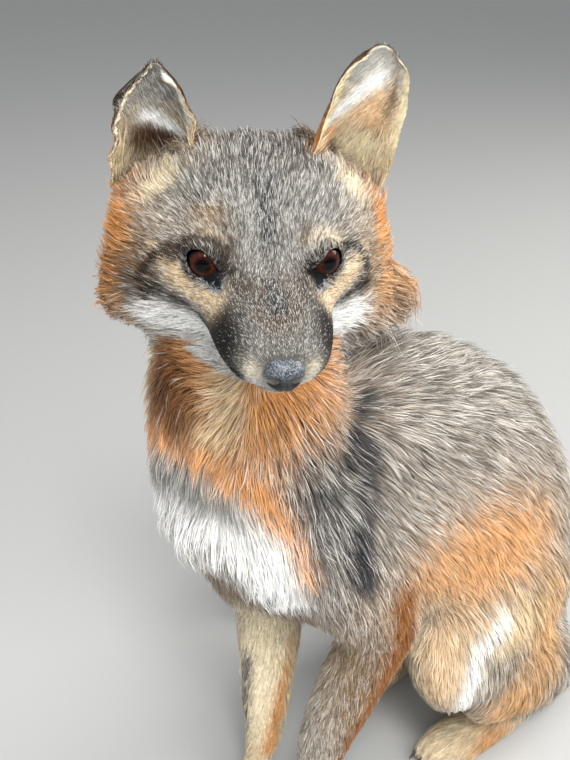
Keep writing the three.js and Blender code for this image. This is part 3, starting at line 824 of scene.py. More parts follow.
def fine_region(head_points):
    near_eye = np.zeros(len(head_points), bool)
    for eye in EYES:
        near_eye |= np.linalg.norm(head_points - eye["centre"], axis=1) < FINE_EYE
    near_mouth = path_gap(mirrored(head_points), MOUTH_LINE) < FINE_MOUTH
    near_nose = np.linalg.norm(head_points - (0, 5, -4), axis=1) < FINE_NOSE
    return near_eye | near_mouth | near_nose


# What is sculpted on the face: the line of a fold and its half-width, or the middle of a mound and
# its reach, and how far it pushes the skin out in mm.
FACE_FOLDS = [
    ("mouth", MOUTH_LINE, 0.9, -1.5),
    ("lip roll", [(x, y, z + 2.6) for x, y, z in MOUTH_LINE], 1.3, 0.5),
    ("brow", [(12, 52, 22), (20, 56, 27.5), (31, 62, 27)], 2.6, 1.3),
    ("tear duct", [(19, 51, 14), (15, 47, 12)], 1.8, -1.2),
    ("philtrum", [(0, -1, -9), (0, 1, -13)], 0.7, -0.8),
]
FACE_MOUNDS = [
    ("ear root", (46, 96, 38), (11, 10, 9), -3.5),
    ("ear side", (29, 106, 51), (9, 12, 9), 8),
    ("right ruff", (-68, 92, -18), (16, 18, 20), 6),
]


def sculpt_face(corners, normals):
    """Mouth, brow, cheek and lip folds, as depths along the surface."""
    local = fox_to_head(corners)
    folded = mirrored(local)
    push = np.zeros(len(corners))
    for fold in FACE_FOLDS:
        push += fold[3] * np.exp(-0.5 * stripe_gap(folded, fold) ** 2)
    for mound in FACE_MOUNDS:
        points = local if first_place(mound)[0] < 0 else folded
        push += mound[3] * np.exp(-0.5 * patch_square(points, mound))
    return corners + normals * push[:, None]


TOE_GAPS = (-0.42, 0, 0.42)                 # across the paw, in its half-widths
TOE_GAP_WIDTH = 1.5                         # mm
TOE_GAP_DROP, TOE_GAP_BACK = 1.6, 2.2       # mm that a gap is let in from above and from ahead


def sculpt_toes(corners):
    """Grooves between the toes of each paw."""
    moved = corners.copy()
    for (x, y), width in TOES:
        for share in TOE_GAPS:
            across = corners[:, 0] - x - share * width
            ahead = smooth_step(y + 16 - corners[:, 1], 0, 14)
            near = (np.abs(corners[:, 0] - x) < width * 1.3) & (corners[:, 1] > y - 22)
            near &= corners[:, 2] < 26
            groove = np.exp(-0.5 * (across / TOE_GAP_WIDTH) ** 2) * ahead * near
            moved[:, 2] -= TOE_GAP_DROP * groove * smooth_step(corners[:, 2], 1, 8)
            moved[:, 1] += TOE_GAP_BACK * groove * smooth_step(y + 6 - corners[:, 1], 0, 8)
    return moved


WRISTS = [(27, -29, 38), (-11, -37, 33)]
WRIST_REACH = (26, 32, 30)                  # mm round each, where the skin is smoothed
WRIST_ROUNDS = 90
WRIST_SWELL, WRIST_HEIGHT = 3.0, 11         # mm out, and up and down
WRIST_EDGE = (16, 22)                       # mm from its middle, over which the swelling ends


def sculpt_wrists(corners, edges):
    """Runs each foreleg smoothly into its paw, and keeps the wrist full."""
    near = np.zeros(len(corners))
    for wrist in WRISTS:
        gap = np.linalg.norm((corners - wrist) / WRIST_REACH, axis=1)
        near = np.maximum(near, 1 - smooth_step(gap, 0.55, 1))
    for _ in range(WRIST_ROUNDS):
        corners = corners + 0.5 * near[:, None] * (neighbour_mean(corners, edges) - corners)
    for x, y, z in WRISTS:
        away = corners[:, :2] - (x, y)
        reach = np.linalg.norm(away, axis=1)
        level = np.exp(-0.5 * ((corners[:, 2] - z) / WRIST_HEIGHT) ** 2)
        swell = WRIST_SWELL * level * (1 - smooth_step(reach, *WRIST_EDGE))
        corners[:, :2] += away / np.maximum(reach, 1)[:, None] * swell[:, None]
    return corners


LID_STEPS = 96
LID_ROWS = [                                # outward from the edge, and height over the eyeball
    (0.0, 0.15), (0.1, 0.55), (0.4, 0.9), (0.9, 1.05), (1.5, 1.0), (2.2, 0.9), (3.0, 0.7), (3.9, 0.5),
    (4.9, 0.2), (6.0, 0), (7.2, 0),
]
LID_MERGE = 5.0                             # mm out from the edge where the lid is all skin
LID_SEAT = 3.2                              # mm, the least from the eye's middle to a lid
LID_SIGHT = 40                              # mm ahead of the eye, from where the skin is looked for


def lid_patch(eye, skin_tree):
    """The two lids of an eye: a ring of skin from the edge of its opening out onto the face."""
    outline = lid_outline(np.linspace(0, 1, LID_STEPS, endpoint=False))
    outward = unit((outline - LID_MIDDLE) * (1, 1.25))
    axes = np.stack([eye["across"], eye["up"], eye["ahead"]], 0)
    rows = []
    for reach, rise in LID_ROWS:
        flat = outline + outward * reach
        ball = eye["radius"] + rise
        rounded = np.sqrt(np.maximum(ball ** 2 - (flat ** 2).sum(1), 0) + LID_SEAT ** 2)
        over_eye = rounded - 0.32 * np.exp(-((rounded - LID_SEAT) / 3) ** 2)
        skin = []
        for across, up in flat:
            start = eye["centre"] + np.array((across, up, LID_SIGHT)) @ axes
            origin = head_to_fox(start[None])[0]
            heading = -(eye["ahead"] @ HEAD_TURN.T)
            hit = skin_tree.ray_cast(origin.tolist(), heading.tolist())
            skin.append(LID_SIGHT - hit[3] if hit[0] is not None else 0)
        skin = np.array(skin)
        share = smooth_step(np.full(len(flat), reach), 1.2, LID_MERGE)
        height = over_eye * (1 - share) + (skin - 0.35 * share) * share
        height = np.maximum(height, (skin + 0.25) * (1 - share) + height * share)
        rows.append(eye["centre"] + np.column_stack([flat, height]) @ axes)
    corners = head_to_fox(np.vstack(rows))
    faces = ring_faces(len(LID_ROWS), LID_STEPS)
    return corners, faces if eye["side"] > 0 else [face[::-1] for face in faces]


# ---- ears ----------------------------------------------------------------------------------------
EAR_HEIGHT = 60                             # mm
EAR_HALF_WIDTH = 22                         # mm
# Where each ear stands, its turns in degrees, its share of the full height, how worn its edge is,
# how blunt its tip is, and how much further it reaches on its inner side.
EARS = {
    "ear_left": {
        "side": 1, "at": (45, 102, 30), "lean": 11, "swing": -24, "back": 2,
        "height": 1.0, "wear": 0.3, "blunt": 14, "inward": 1.3,
    },
    "ear_right": {
        "side": -1, "at": (-43, 104, 26), "lean": -3, "swing": 30, "back": 4,
        "height": 0.88, "wear": 1.2, "blunt": 6, "inward": 1,
    },
}
EAR_SKIN = 1.1                              # mm, the thickness of the ear under its fur
EAR_ROOT, EAR_TIP = -0.12, 0.975            # how far up the ear its skin begins and ends
EAR_WRAP, EAR_UNWRAP = 1.5, 0.7             # radians it curls at its root, and less at its tip
EAR_BOW = 4                                 # mm that the tip leans back
EAR_EDGE_DROP = 5                           # mm that the edges are lower than the middle


def ear_point(ear, u, v, offset):
    """A place on an ear: u from root to tip, v across from -1 to 1, offset behind its middle."""
    shape = EARS[ear]
    beyond = np.maximum(u - EAR_TIP, 0)
    u = u - beyond
    full = 1 - np.abs(u) ** shape["blunt"]
    outline = np.sqrt(full) * (0.9 + 0.35 * u * (1 - u)) * (1 - 0.22 * u)
    half_width = EAR_HALF_WIDTH * outline
    wrap = EAR_WRAP - EAR_UNWRAP * u
    radius = half_width / np.sin(wrap)
    tear = shape["wear"] * np.abs(v) ** 3 * (np.sin(9 * u + 2 * v) + 0.8 * np.sin(23 * u))
    turn = v * wrap
    local = np.stack([
        (radius + offset) * np.sin(turn) * np.where(v < 0, shape["inward"], 1) + tear,
        (radius + offset) * np.cos(turn) - radius * np.cos(wrap) + EAR_BOW * u * u,
        EAR_HEIGHT * shape["height"] * (u + beyond) - EAR_EDGE_DROP * v * v * u + 0.5 * tear,
    ], -1)
    placing = (
        turned("Y", math.radians(shape["lean"]))
        @ turned("X", math.radians(-shape["back"]))
        @ turned("Z", math.radians(-shape["swing"]))
    )
    return head_to_fox(local @ placing.T + shape["at"])


def ear_thickness(v):
    return EAR_SKIN * (0.55 + 0.75 * np.clip(1 - v ** 2, 0, 1))


def ear_shell(ear):
    """The ear's skin, front and back, closed round its edge, and each corner's u, v and side."""
    rows, columns = 56, 44
    u = np.linspace(EAR_ROOT, EAR_TIP, rows)
    v = np.sin(np.linspace(-0.5, 0.5, columns) * np.pi)
    grid_u, grid_v = np.meshgrid(u, v, indexing="ij")
    thickness = ear_thickness(grid_v)
    crinkle = EARS[ear]["wear"] * 0.5 * np.abs(grid_v) ** 6
    crinkle = crinkle * np.sin(61 * grid_u + 9 * grid_v) * np.sin(37 * grid_u + 1.3)
    outer = ear_point(ear, grid_u, grid_v, thickness / 2 + crinkle)
    inner = ear_point(ear, grid_u, grid_v, -thickness / 2 + crinkle)
    ring = np.concatenate([outer, inner[:, ::-1]], 1)
    back = np.stack([grid_u, grid_v, np.ones_like(grid_u)], -1)
    front = np.stack([grid_u, grid_v, -np.ones_like(grid_u)], -1)[:, ::-1]
    count = ring.shape[1]
    faces = ring_faces(rows, count)
    top = (rows - 1) * count
    for column in range(columns - 1):
        a, b = top + column, top + column + 1
        faces.append([b, a, top + count - 1 - column, top + count - 2 - column])
    return ring.reshape(-1, 3), faces, np.concatenate([back, front], 1).reshape(-1, 3)


# Markings of the ears, on the ear laid flat: across in mm from its middle, outwards from the head's
# side to the far edge, and up from its root.
EAR_SPREAD = (20, 60)                       # mm across for v = 1, and up for u = 1
EAR_BACK = [
    ("upper back", (0, 50), (30, 28), mix(CHARCOAL, BROWN, 0.45), 0.4),
]
EAR_FRONT = {
    # The left ear's lining is painted paler than the right ear's: its own cream, rust and silver
    # hair, made lighter as a painted glow of light shining through the ear from behind.
    "ear_left": [
        ("upper part", (0, 54), (22, 20), mix(GREY, SILVER, 0.75), 0.4),
        ("hollow", (7, 26), (8, 13), mix(RUST, CREAM, 0.55), 0.1),
        ("pit", (6, 13), (6, 4), mix(BROWN, RUST, 0.5), 0.2),
        ("root", (-2, 2), (28, 9), CREAM, 0.05),
        ("inner corner", (-16, 13), (6, 10), RUST, 0.1),
        ("dark strip", (13, 36), (1.6, 12), mix(BROWN, TAN, 0.3), 0.1),
    ],
    "ear_right": [
        ("upper part", (0, 50), (24, 20), mix(GREY, SILVER, 0.2), 0.9),
        ("hollow", (2, 11), (17, 17), mix(DEEP_RUST, BLACK, 0.72), 0.05),
        ("root", (-9, -5), (14, 6), CREAM, 0.05),
        ("outer root", (18, 4), (4, 12), mix(CREAM, TAN, 0.2), 0.05),
        ("inner fringe", (-18, 48), (4, 18), WHITE, 0.1),
    ],
}
EAR_STREAK = {
    "ear_left": [("streak", [(-15, 16), (-5, 29), (5, 43)], 3.8, WHITE, 0.0)],
    "ear_right": [("streak", [(-17, 15), (-7, 20), (5, 28)], 4.2, WHITE, 0.0)],
}
# Each ear's pale fringe of hair; on the left ear it is painted brighter than cream, a painted
# backlight on its edge.
EAR_RIM = {"ear_left": (CREAM * 1.05, 0.86), "ear_right": (mix(CREAM, TAN, 0.4), 0.97)}
DRIED_EDGE = np.array([                     # of the right ear: up and across, as shares of its size
    (-0.06, 0.99), (0.1, 1.0), (0.25, 0.99), (0.4, 0.96), (0.52, 0.92), (0.64, 0.84), (0.76, 0.72),
    (0.86, 0.54), (0.94, 0.32), (0.975, 0.12),
])
FOLDED_FUR = mix(CHARCOAL, BROWN, 0.35)     # of the back of the ear, that shows past its dried edge


def ear_pelt(ear, places, rng):
    """An ear's colours and grizzle at rows of u, v and side, which is 1 behind and -1 in front."""
    across = places[:, 1] * EARS[ear]["side"]
    flat = np.stack([across * EAR_SPREAD[0], places[:, 0] * EAR_SPREAD[1]], 1)
    flat = flat + rng.normal(0, 0.7, flat.shape)
    count = len(places)
    back = lay(patch_gap, flat, np.tile(RUST, (count, 1)), np.full(count, 0.2), EAR_BACK)
    pale = np.tile(mix(TAN, CREAM, 0.7), (count, 1))
    front = lay(patch_gap, flat, pale, np.full(count, 0.3), EAR_FRONT[ear])
    front = lay(stripe_gap, flat, *front, EAR_STREAK[ear])
    rim, edge = EAR_RIM[ear]
    at_rim = smooth_step(np.abs(across), edge - 0.03, edge + 0.02)
    at_rim = at_rim * smooth_step(places[:, 0], 0.1, 0.2)
    at_rim = np.maximum(at_rim, smooth_step(places[:, 0], 0.93, 0.97) * (ear == "ear_left"))
    front = mix(front[0], rim, at_rim), front[1] * (1 - at_rim)
    if ear == "ear_right":
        folded = smooth_step(across - np.interp(places[:, 0], *DRIED_EDGE.T), -0.01, 0.03)
        front = mix(front[0], FOLDED_FUR, folded), front[1]
    behind = places[:, 2] > 0
    return np.where(behind[:, None], back[0], front[0]), np.where(behind, back[1], front[1])


def make_skin():
    mesh = united_solids()
    shrunk_skin(mesh)
    mesh = voxel_mesh(read_mesh(mesh)[0], [list(polygon.vertices) for polygon in mesh.polygons])
    refined(mesh, face_region)
    refined(mesh, fine_region)
    corners, _, edges, _ = read_mesh(mesh)
    near_face = face_region(fox_to_head(corners)).astype(float)
    corners = relaxed(corners, edges, FACE_SMOOTHING, near_face)
    write_corners(mesh, corners)
    corners, normals, edges, triangles = read_mesh(mesh)
    corners = sculpt_face(corners, normals)
    corners = sculpt_wrists(sculpt_toes(corners), edges)
    corners[:, 2] = np.maximum(corners[:, 2], LOWEST_SKIN)
    tree = BVHTree.FromPolygons(corners.tolist(), triangles.tolist())
    faces = [list(polygon.vertices) for polygon in mesh.polygons]
    pieces = [(corners, faces)]
    pieces += [lid_patch(eye, tree) for eye in EYES]
    shells = [ear_shell(ear) for ear in EARS]
    pieces += [shell[:2] for shell in shells]
    sizes = [len(piece[0]) for piece in pieces]
    all_corners, all_faces = joined(pieces)
    skin = new_object("skin", all_corners, all_faces)
    section = np.repeat(["body", "lid", "lid", "ear_left", "ear_right"], sizes)
    flesh = [name for name in PART_NAMES if name not in OWN_PIECES]
    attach(skin, "root")
    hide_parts(*flesh)
    return skin, section, dict(zip(EARS, (shell[2] for shell in shells)))


# ---- materials -----------------------------------------------------------------------------------

def new_material(name):
    material = bpy.data.materials.new(name)
    material.use_nodes = True
    nodes, links = material.node_tree.nodes, material.node_tree.links
    return material, nodes, links, nodes["Principled BSDF"]


def set_values(node, **values):
    """A value is an input's, or with a lower-case name the node's own."""
    for name, value in values.items():
        if name[0].islower():
            setattr(node, name, value)
        else:
            node.inputs[name.replace("_", " ")].default_value = value


def add_node(nodes, kind, **values):
    node = nodes.new(kind)
    set_values(node, **values)
    return node


def add_placed(nodes, links, kind, **values):
    """A node that is fed with the object's own coordinates."""
    place = nodes.new("ShaderNodeTexCoord")
    node = add_node(nodes, kind, **values)
    links.new(place.outputs["Object"], node.inputs["Vector"])
    return node


def add_multiply(nodes, links, first, second):
    multiply = add_node(nodes, "ShaderNodeMix", data_type="RGBA", blend_type="MULTIPLY")
    multiply.inputs["Factor"].default_value = 1
    links.new(first, multiply.inputs["A"])
    links.new(second, multiply.inputs["B"])
    return multiply.outputs["Result"]


def add_spread(nodes, links, value, start, end, low, high):
    """A value that runs from start to end, made to run from low to high."""
    limits = {"From_Min": start, "From_Max": end, "To_Min": low, "To_Max": high}
    spread = add_node(nodes, "ShaderNodeMapRange", **limits)
    links.new(value, spread.inputs["Value"])
    return spread.outputs["Result"]


def add_ramp(nodes, links, share, stops):
    """Colours between stops, each a position from 0 to 1 and a display colour."""
    ramp = nodes.new("ShaderNodeValToRGB")
    elements = ramp.color_ramp.elements
    while len(elements) < len(stops):
        elements.new(0.5)
    for element, (position, colour) in zip(elements, stops):
        element.position = position
        element.color = (*paint(*colour), 1)
    links.new(share, ramp.inputs["Fac"])
    return ramp.outputs["Color"]


def add_bump(nodes, links, surface, height, **values):
    bump = add_node(nodes, "ShaderNodeBump", **values)
    links.new(height, bump.inputs["Height"])
    links.new(bump.outputs["Normal"], surface.inputs["Normal"])


def varied_pelt(nodes, links, scale, low, high):
    """The painted pelt, made lighter and darker by noise of a scale in metres."""
    painted = add_node(nodes, "ShaderNodeVertexColor", layer_name="Pelt")
    noise = add_placed(nodes, links, "ShaderNodeTexNoise", Scale=1 / scale, Detail=4)
    spread = add_spread(nodes, links, noise.outputs["Fac"], 0.3, 0.7, low, high)
    return add_multiply(nodes, links, painted.outputs["Color"], spread)


def coat_material(name, noise_scale, roughness, sheen):
    """Hair: the painted pelt, a little lighter and darker from lock to lock."""
    material, nodes, links, surface = new_material(name)
    links.new(varied_pelt(nodes, links, noise_scale, 0.82, 1.16), surface.inputs["Base Color"])
    set_values(surface, Roughness=roughness, Specular_IOR_Level=0.2)
    set_values(surface, Sheen_Weight=sheen, Sheen_Roughness=0.5)
    return material


def skin_material():
    """Hide under the coat: the painted pelt with the fine grain of short hair."""
    material, nodes, links, surface = new_material("hide")
    links.new(varied_pelt(nodes, links, 0.0012, 0.75, 1.2), surface.inputs["Base Color"])
    grain = add_placed(nodes, links, "ShaderNodeTexNoise", Scale=1600, Detail=3)
    add_bump(nodes, links, surface, grain.outputs["Fac"], Strength=0.35, Distance=0.0004)
    set_values(surface, Roughness=0.7, Specular_IOR_Level=0.2)
    return material


NOSE_SHEEN_LEVEL = 331.5                         # mm above the floor: above it the nose's top is painted pale, a painted sheen; below it the nose is near black
NOSE_FADE = 3                               # mm over which it darkens, either way


def nose_material():
    """Dark leather with a pebbled grain; its top is painted pale blue-grey, a painted sheen of the
    sky, and it fades to near black below.
    """
    material, nodes, links, surface = new_material("nose")
    pebbles = add_placed(nodes, links, "ShaderNodeTexVoronoi", Scale=1450)
    # The pebble tones are painted light, a painted sheen of the sky on the leather's top.
    stops = [(0.15, (132, 141, 148)), (0.62, (52, 56, 61))]
    tone = add_ramp(nodes, links, pebbles.outputs["Distance"], stops)
    height = add_placed(nodes, links, "ShaderNodeSeparateXYZ")
    low, high = (NOSE_SHEEN_LEVEL - NOSE_FADE) * MM, (NOSE_SHEEN_LEVEL + NOSE_FADE) * MM
    sheen_by_height = add_spread(nodes, links, height.outputs["Z"], low, high, 0.05, 1)
    links.new(add_multiply(nodes, links, tone, sheen_by_height), surface.inputs["Base Color"])
    grain = pebbles.outputs["Distance"]
    add_bump(nodes, links, surface, grain, Strength=0.5, Distance=0.0003, invert=True)
    set_values(surface, Roughness=0.36, Coat_Weight=0.25, Coat_Roughness=0.3)
    return material


def horn_material():
    """Dark horn, paler in places."""
    material, nodes, links, surface = new_material("horn")
    noise = add_placed(nodes, links, "ShaderNodeTexNoise", Scale=420, Detail=4)
    tone = add_ramp(nodes, links, noise.outputs["Fac"], [(0, (30, 26, 24)), (1, (92, 80, 66))])
    links.new(tone, surface.inputs["Base Color"])
    set_values(surface, Roughness=0.32)
    return material


def dried_skin_material():
    """Cracked pale rawhide."""
    material, nodes, links, surface = new_material("dried_skin")
    noise = add_placed(nodes, links, "ShaderNodeTexNoise", Scale=900, Detail=4)
    stops = [(0.32, (120, 96, 70)), (0.55, (236, 220, 192))]
    links.new(add_ramp(nodes, links, noise.outputs["Fac"], stops), surface.inputs["Base Color"])
    add_bump(nodes, links, surface, noise.outputs["Fac"], Strength=0.6, Distance=0.0004)
    set_values(surface, Roughness=0.6)
    return material


IRIS_RADIUS = 5.9                           # mm
PUPIL_RADIUS = 2.6                          # mm
RINGS_REACH = 1.25                          # of the coloured rings, in iris radii
GAZE = (-0.2, 0.04)                         # across and up, towards which each iris is turned


def eye_material(eye):
    """A glass eye: black pupil, red-brown iris with fine rays, dark rim, clear gloss."""
    material, nodes, links, surface = new_material("glass_" + eye["node"])
    place = nodes.new("ShaderNodeTexCoord")
    gaze = unit(eye["ahead"] + GAZE[0] * eye["across"] + GAZE[1] * eye["up"])
    across = unit(eye["across"] - gaze * (gaze @ eye["across"]))
    up = np.cross(gaze, across)
    centre = fox_to_scene(head_to_fox(eye["centre"][None]))[0]
    flat = nodes.new("ShaderNodeCombineXYZ")
    for axis, socket in ((across, "X"), (up, "Y")):
        heading = axis @ HEAD_TURN.T
        dot = add_node(nodes, "ShaderNodeVectorMath", operation="DOT_PRODUCT")
        dot.inputs[1].default_value = heading
        links.new(place.outputs["Object"], dot.inputs[0])
        less = add_node(nodes, "ShaderNodeMath", operation="SUBTRACT")
        less.inputs[1].default_value = float(centre @ heading)
        links.new(dot.outputs["Value"], less.inputs[0])
        links.new(less.outputs["Value"], flat.inputs[socket])
    reach = add_node(nodes, "ShaderNodeVectorMath", operation="LENGTH")
    links.new(flat.outputs["Vector"], reach.inputs[0])
    to_share = add_node(nodes, "ShaderNodeMath", operation="DIVIDE")
    to_share.inputs[1].default_value = IRIS_RADIUS * MM * RINGS_REACH
    links.new(reach.outputs["Value"], to_share.inputs[0])
    pupil = PUPIL_RADIUS / IRIS_RADIUS / RINGS_REACH
    rings = add_ramp(nodes, links, to_share.outputs["Value"], [
        (0.0, (1, 1, 1)), (pupil - 0.05, (2, 1, 1)), (pupil + 0.05, (26, 11, 8)),
        (pupil + 0.22, (66, 29, 19)), (0.7, (56, 25, 17)), (0.77, (22, 12, 9)), (0.83, (6, 5, 6)),
    ])
    way = add_node(nodes, "ShaderNodeVectorMath", operation="NORMALIZE")
    links.new(flat.outputs["Vector"], way.inputs[0])
    rays = add_node(nodes, "ShaderNodeTexNoise", Scale=5, Detail=3)
    links.new(way.outputs["Vector"], rays.inputs["Vector"])
    streaked = add_spread(nodes, links, rays.outputs["Fac"], 0.35, 0.65, 0.7, 1.3)
    links.new(add_multiply(nodes, links, rings, streaked), surface.inputs["Base Color"])
    set_values(surface, Roughness=0.05, Specular_IOR_Level=0.15)
    return material


# ---- eyes, nose and claws ------------------------------------------------------------------------

def grid_ball(rows, columns, shape):
    """A closed ball of rings: shape gives a place for each latitude and longitude."""
    corners = [shape(-math.pi / 2, 0)]
    for row in range(1, rows):
        latitude = -math.pi / 2 + math.pi * row / rows
        corners += [shape(latitude, 2 * math.pi * column / columns) for column in range(columns)]
    corners.append(shape(math.pi / 2, 0))
    faces = turned_over(ring_faces(rows - 1, columns, 1))
    last = len(corners) - 1
    top = last - columns
    for column in range(columns):
        after = (column + 1) % columns
        faces.append([0, 1 + after, 1 + column])
        faces.append([top + column, top + after, last])
    return np.array(corners, float), faces


CORNEA_RISE = 0.35                          # mm by which the clear front of the eye bulges


def make_eyeball(eye):
    axes = np.stack([eye["across"], eye["up"], eye["ahead"]], 0)

    def shape(latitude, longitude):
        level, girth = math.sin(latitude), math.cos(latitude)
        reach = eye["radius"] + CORNEA_RISE * smooth_step(np.array(level), 0.6, 1.0)
        heading = np.array((girth * math.cos(longitude), girth * math.sin(longitude), level))
        return eye["centre"] + reach * heading @ axes

    corners, faces = grid_ball(40, 64, shape)
    ball = new_object("glass_" + eye["node"], head_to_fox(corners), faces)
    ball.data.materials.append(eye_material(eye))
    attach(ball, "root")
    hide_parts(eye["node"])


EDGE_GIRTH = 0.75                           # mm


def make_dried_edge():
    """The rolled, dried edge of the right ear, on its front face."""
    steps, sides = 120, 8
    t = np.linspace(0, 1, steps)
    knots = np.arange(len(DRIED_EDGE))
    path = np.stack([np.interp(t * knots[-1], knots, axis) for axis in DRIED_EDGE.T])
    v = EARS["ear_right"]["side"] * path[1]
    raised = -(ear_thickness(v) / 2 + 0.3)
    middle = ear_point("ear_right", path[0], v, raised)
    wobble = np.stack([np.sin(57 * t), np.sin(83 * t + 1), np.sin(71 * t + 2)], 1)
    middle = middle + 0.35 * wobble
    out = unit(ear_point("ear_right", path[0], v, raised - 1) - middle)
    across = unit(np.cross(out, np.gradient(middle, axis=0)))
    knobbly = 1 + 0.3 * np.sin(96 * t) * np.sin(41 * t)
    girth = EDGE_GIRTH * knobbly * np.sqrt(np.clip(np.sin(np.pi * t), 0.02, 1))
    turn = 2 * np.pi * np.arange(sides) / sides
    ring = np.cos(turn)[None, :, None] * out[:, None] + np.sin(turn)[None, :, None] * across[:, None]
    corners = (middle[:, None] + ring * girth[:, None, None]).reshape(-1, 3)
    faces = [list(range(sides)), list(range(len(corners) - sides, len(corners)))[::-1]]
    faces += ring_faces(steps, sides)
    edge = new_object("dried_ear_edge", corners, faces)
    edge.data.materials.append(dried_skin_material())
    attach(edge, "root")


NOSE_MIDDLE = (0, 6, -3)
NOSE_REACH = (8.7, 8.2, 7.4)
NOSTRIL, NOSTRIL_REACH = (4.3, -1.6, -3.4), (1.9, 2.6, 1.6)
WING, WING_REACH = (6.9, 1.2, -4.2), (1.5, 2.4, 0.9)  # the slit beside each nostril
NOSE_LIP, NOSE_LIP_REACH = (4.6, -1.5, -0.6), (2.6, 3, 1.1)  # the roll over each nostril


def make_nose():
    def shape(latitude, longitude):
        ahead = -math.sin(latitude)
        ring = math.cos(latitude) ** 0.8
        across, rise = math.cos(longitude), math.sin(longitude)
        across = math.copysign(abs(across) ** 0.85, across) * ring
        rise = math.copysign(abs(rise) ** 0.85, rise) * ring
        ahead = math.copysign(abs(ahead) ** 0.8, ahead)
        narrow = 1 - 0.5 * max(-rise, 0) ** 1.6
        place = np.array((across * narrow, ahead, rise)) * NOSE_REACH + NOSE_MIDDLE
        side = math.copysign(1, place[0])
        folded = place * (side, 1, 1)
        hole = (folded - NOSTRIL) / NOSTRIL_REACH
        wing = (folded - WING) / WING_REACH
        place[1] += 3.4 * math.exp(-0.5 * hole @ hole) + 1.2 * math.exp(-0.5 * wing @ wing)
        place[0] -= side * 0.5 * math.exp(-0.5 * wing @ wing)
        if place[2] < -1 and place[1] < 4:
            place[1] += 0.9 * math.exp(-0.5 * (place[0] / 0.5) ** 2)
        lip = (folded - NOSE_LIP) / NOSE_LIP_REACH
        place[1] -= 0.5 * math.exp(-0.5 * lip @ lip)
        return place

    corners, faces = grid_ball(72, 96, shape)
    nose = new_object("nose", head_to_fox(corners), faces)
    nose.data.materials.append(nose_material())
    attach(nose, "root")
    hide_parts("nose_pad")


CLAW_LENGTH = 9                             # mm
CLAW_PLACES = (-0.62, -0.22, 0.22, 0.62)    # across the paw, in its half-widths


def claw_shell(x, y):
    """One curved claw from its toe, tapering to a blunt point."""
    rings, sides = 9, 10
    corners = []
    for ring in range(rings):
        t = ring / (rings - 1)
        middle = (x, y + 1 - (CLAW_LENGTH + 0.5) * t, 7.4 - 0.6 * t - 3.2 * t * t)
        for side in range(sides):
            angle = 2 * math.pi * side / sides
            girth = 2.1 * (1 - t) ** 0.75 + 0.3
            across, rise = 0.7 * girth * math.cos(angle), girth * math.sin(angle)
            corners.append((middle[0] + across, middle[1], middle[2] + rise))
    faces = turned_over(ring_faces(rings, sides))
    faces.append(list(range(sides))[::-1])
    faces.append([(rings - 1) * sides + side for side in range(sides)])
    return corners, faces


def make_claws():
    shells = []
    for (x, y), width in TOES:
        for across in CLAW_PLACES:
            shells.append(claw_shell(x + across * width, y - 1 + 5 * across * across))
    claws = new_object("claws", *joined(shells))
    claws.data.materials.append(horn_material())
    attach(claws, "root")


# ---- the coat ------------------------------------------------------------------------------------
# Lengths of hair in mm, each with how many layers of tufts lie over one another.
BODY_COVER = ((1.5, 3.3), (4, 3.8), (9, 4.2), (22, 4.6))
HEAD_COVER = ((1.5, 3.6), (4, 7.5), (9, 9), (20, 8))
THINNEST, WIDENING = 0.19, 0.016            # a tuft's width in mm: the least, and more for its length
LONG_HAIR = 9                               # mm from which a tuft has an extra bend
LOCK_SPACING = 0.2                          # between locks, as a share of the hair's length
LOCK_PULL = 0.6                             # how far the tips of a lock are drawn together
LOCK_SIZE = 0.5                             # how far from its leader a lock reaches, in its length
LEAST_IN_LOCK = 3                           # tufts
ROOT_DEPTH = 0.25                           # mm that a tuft starts beneath the skin
SWAY, ROLL = 0.11, 0.5                      # of a tuft: its sideways bend, and its turn about itself
LIE_SPREAD, LENGTH_SPREAD = 0.07, 0.16      # between neighbouring tufts
LIFT_SPREAD, WIDTH_SPREAD = (0.6, 1.1), (0.7, 1.25)
TAPER = (0, 0.45, 1), (0.8, 1.0, 0.0)       # a tuft's width along its length
BANDS = (0, 0.55, 1)                        # where its root, middle and tip colours lie
ROOT_SHADE, PALE_ROOTS = 0.5, 0.4           # how much darker roots are, and how much paler on white
PALE_SHARE, DARK_SHARE = 0.36, 0.3          # of the tufts where the coat is fully grizzled
SHOWN = 0.84                                # of the longest tufts' length, where they are marked
SHORT_HAIR = 5                              # mm; tufts as short as this are marked at their roots
SKIN_SHADE = 0.56                           # of the markings, where the skin shows between tufts
MOST_TRIANGLES = 185000                     # in one piece
LOWEST_HAIR = 0.2                           # mm above the floor
PATCH_SIZE = 0.003                          # of a tuft on the unwrapped skin
UNWRAP_MARGIN = 0.02                        # of the unwrapped skin, left free at its edges


def shown_share(lengths):
    """How far along each tuft its marking is taken from."""
    return SHOWN * (1 - SHORT_HAIR / np.maximum(lengths, SHORT_HAIR))


def tuft_width(length):
    return THINNEST + WIDENING * length


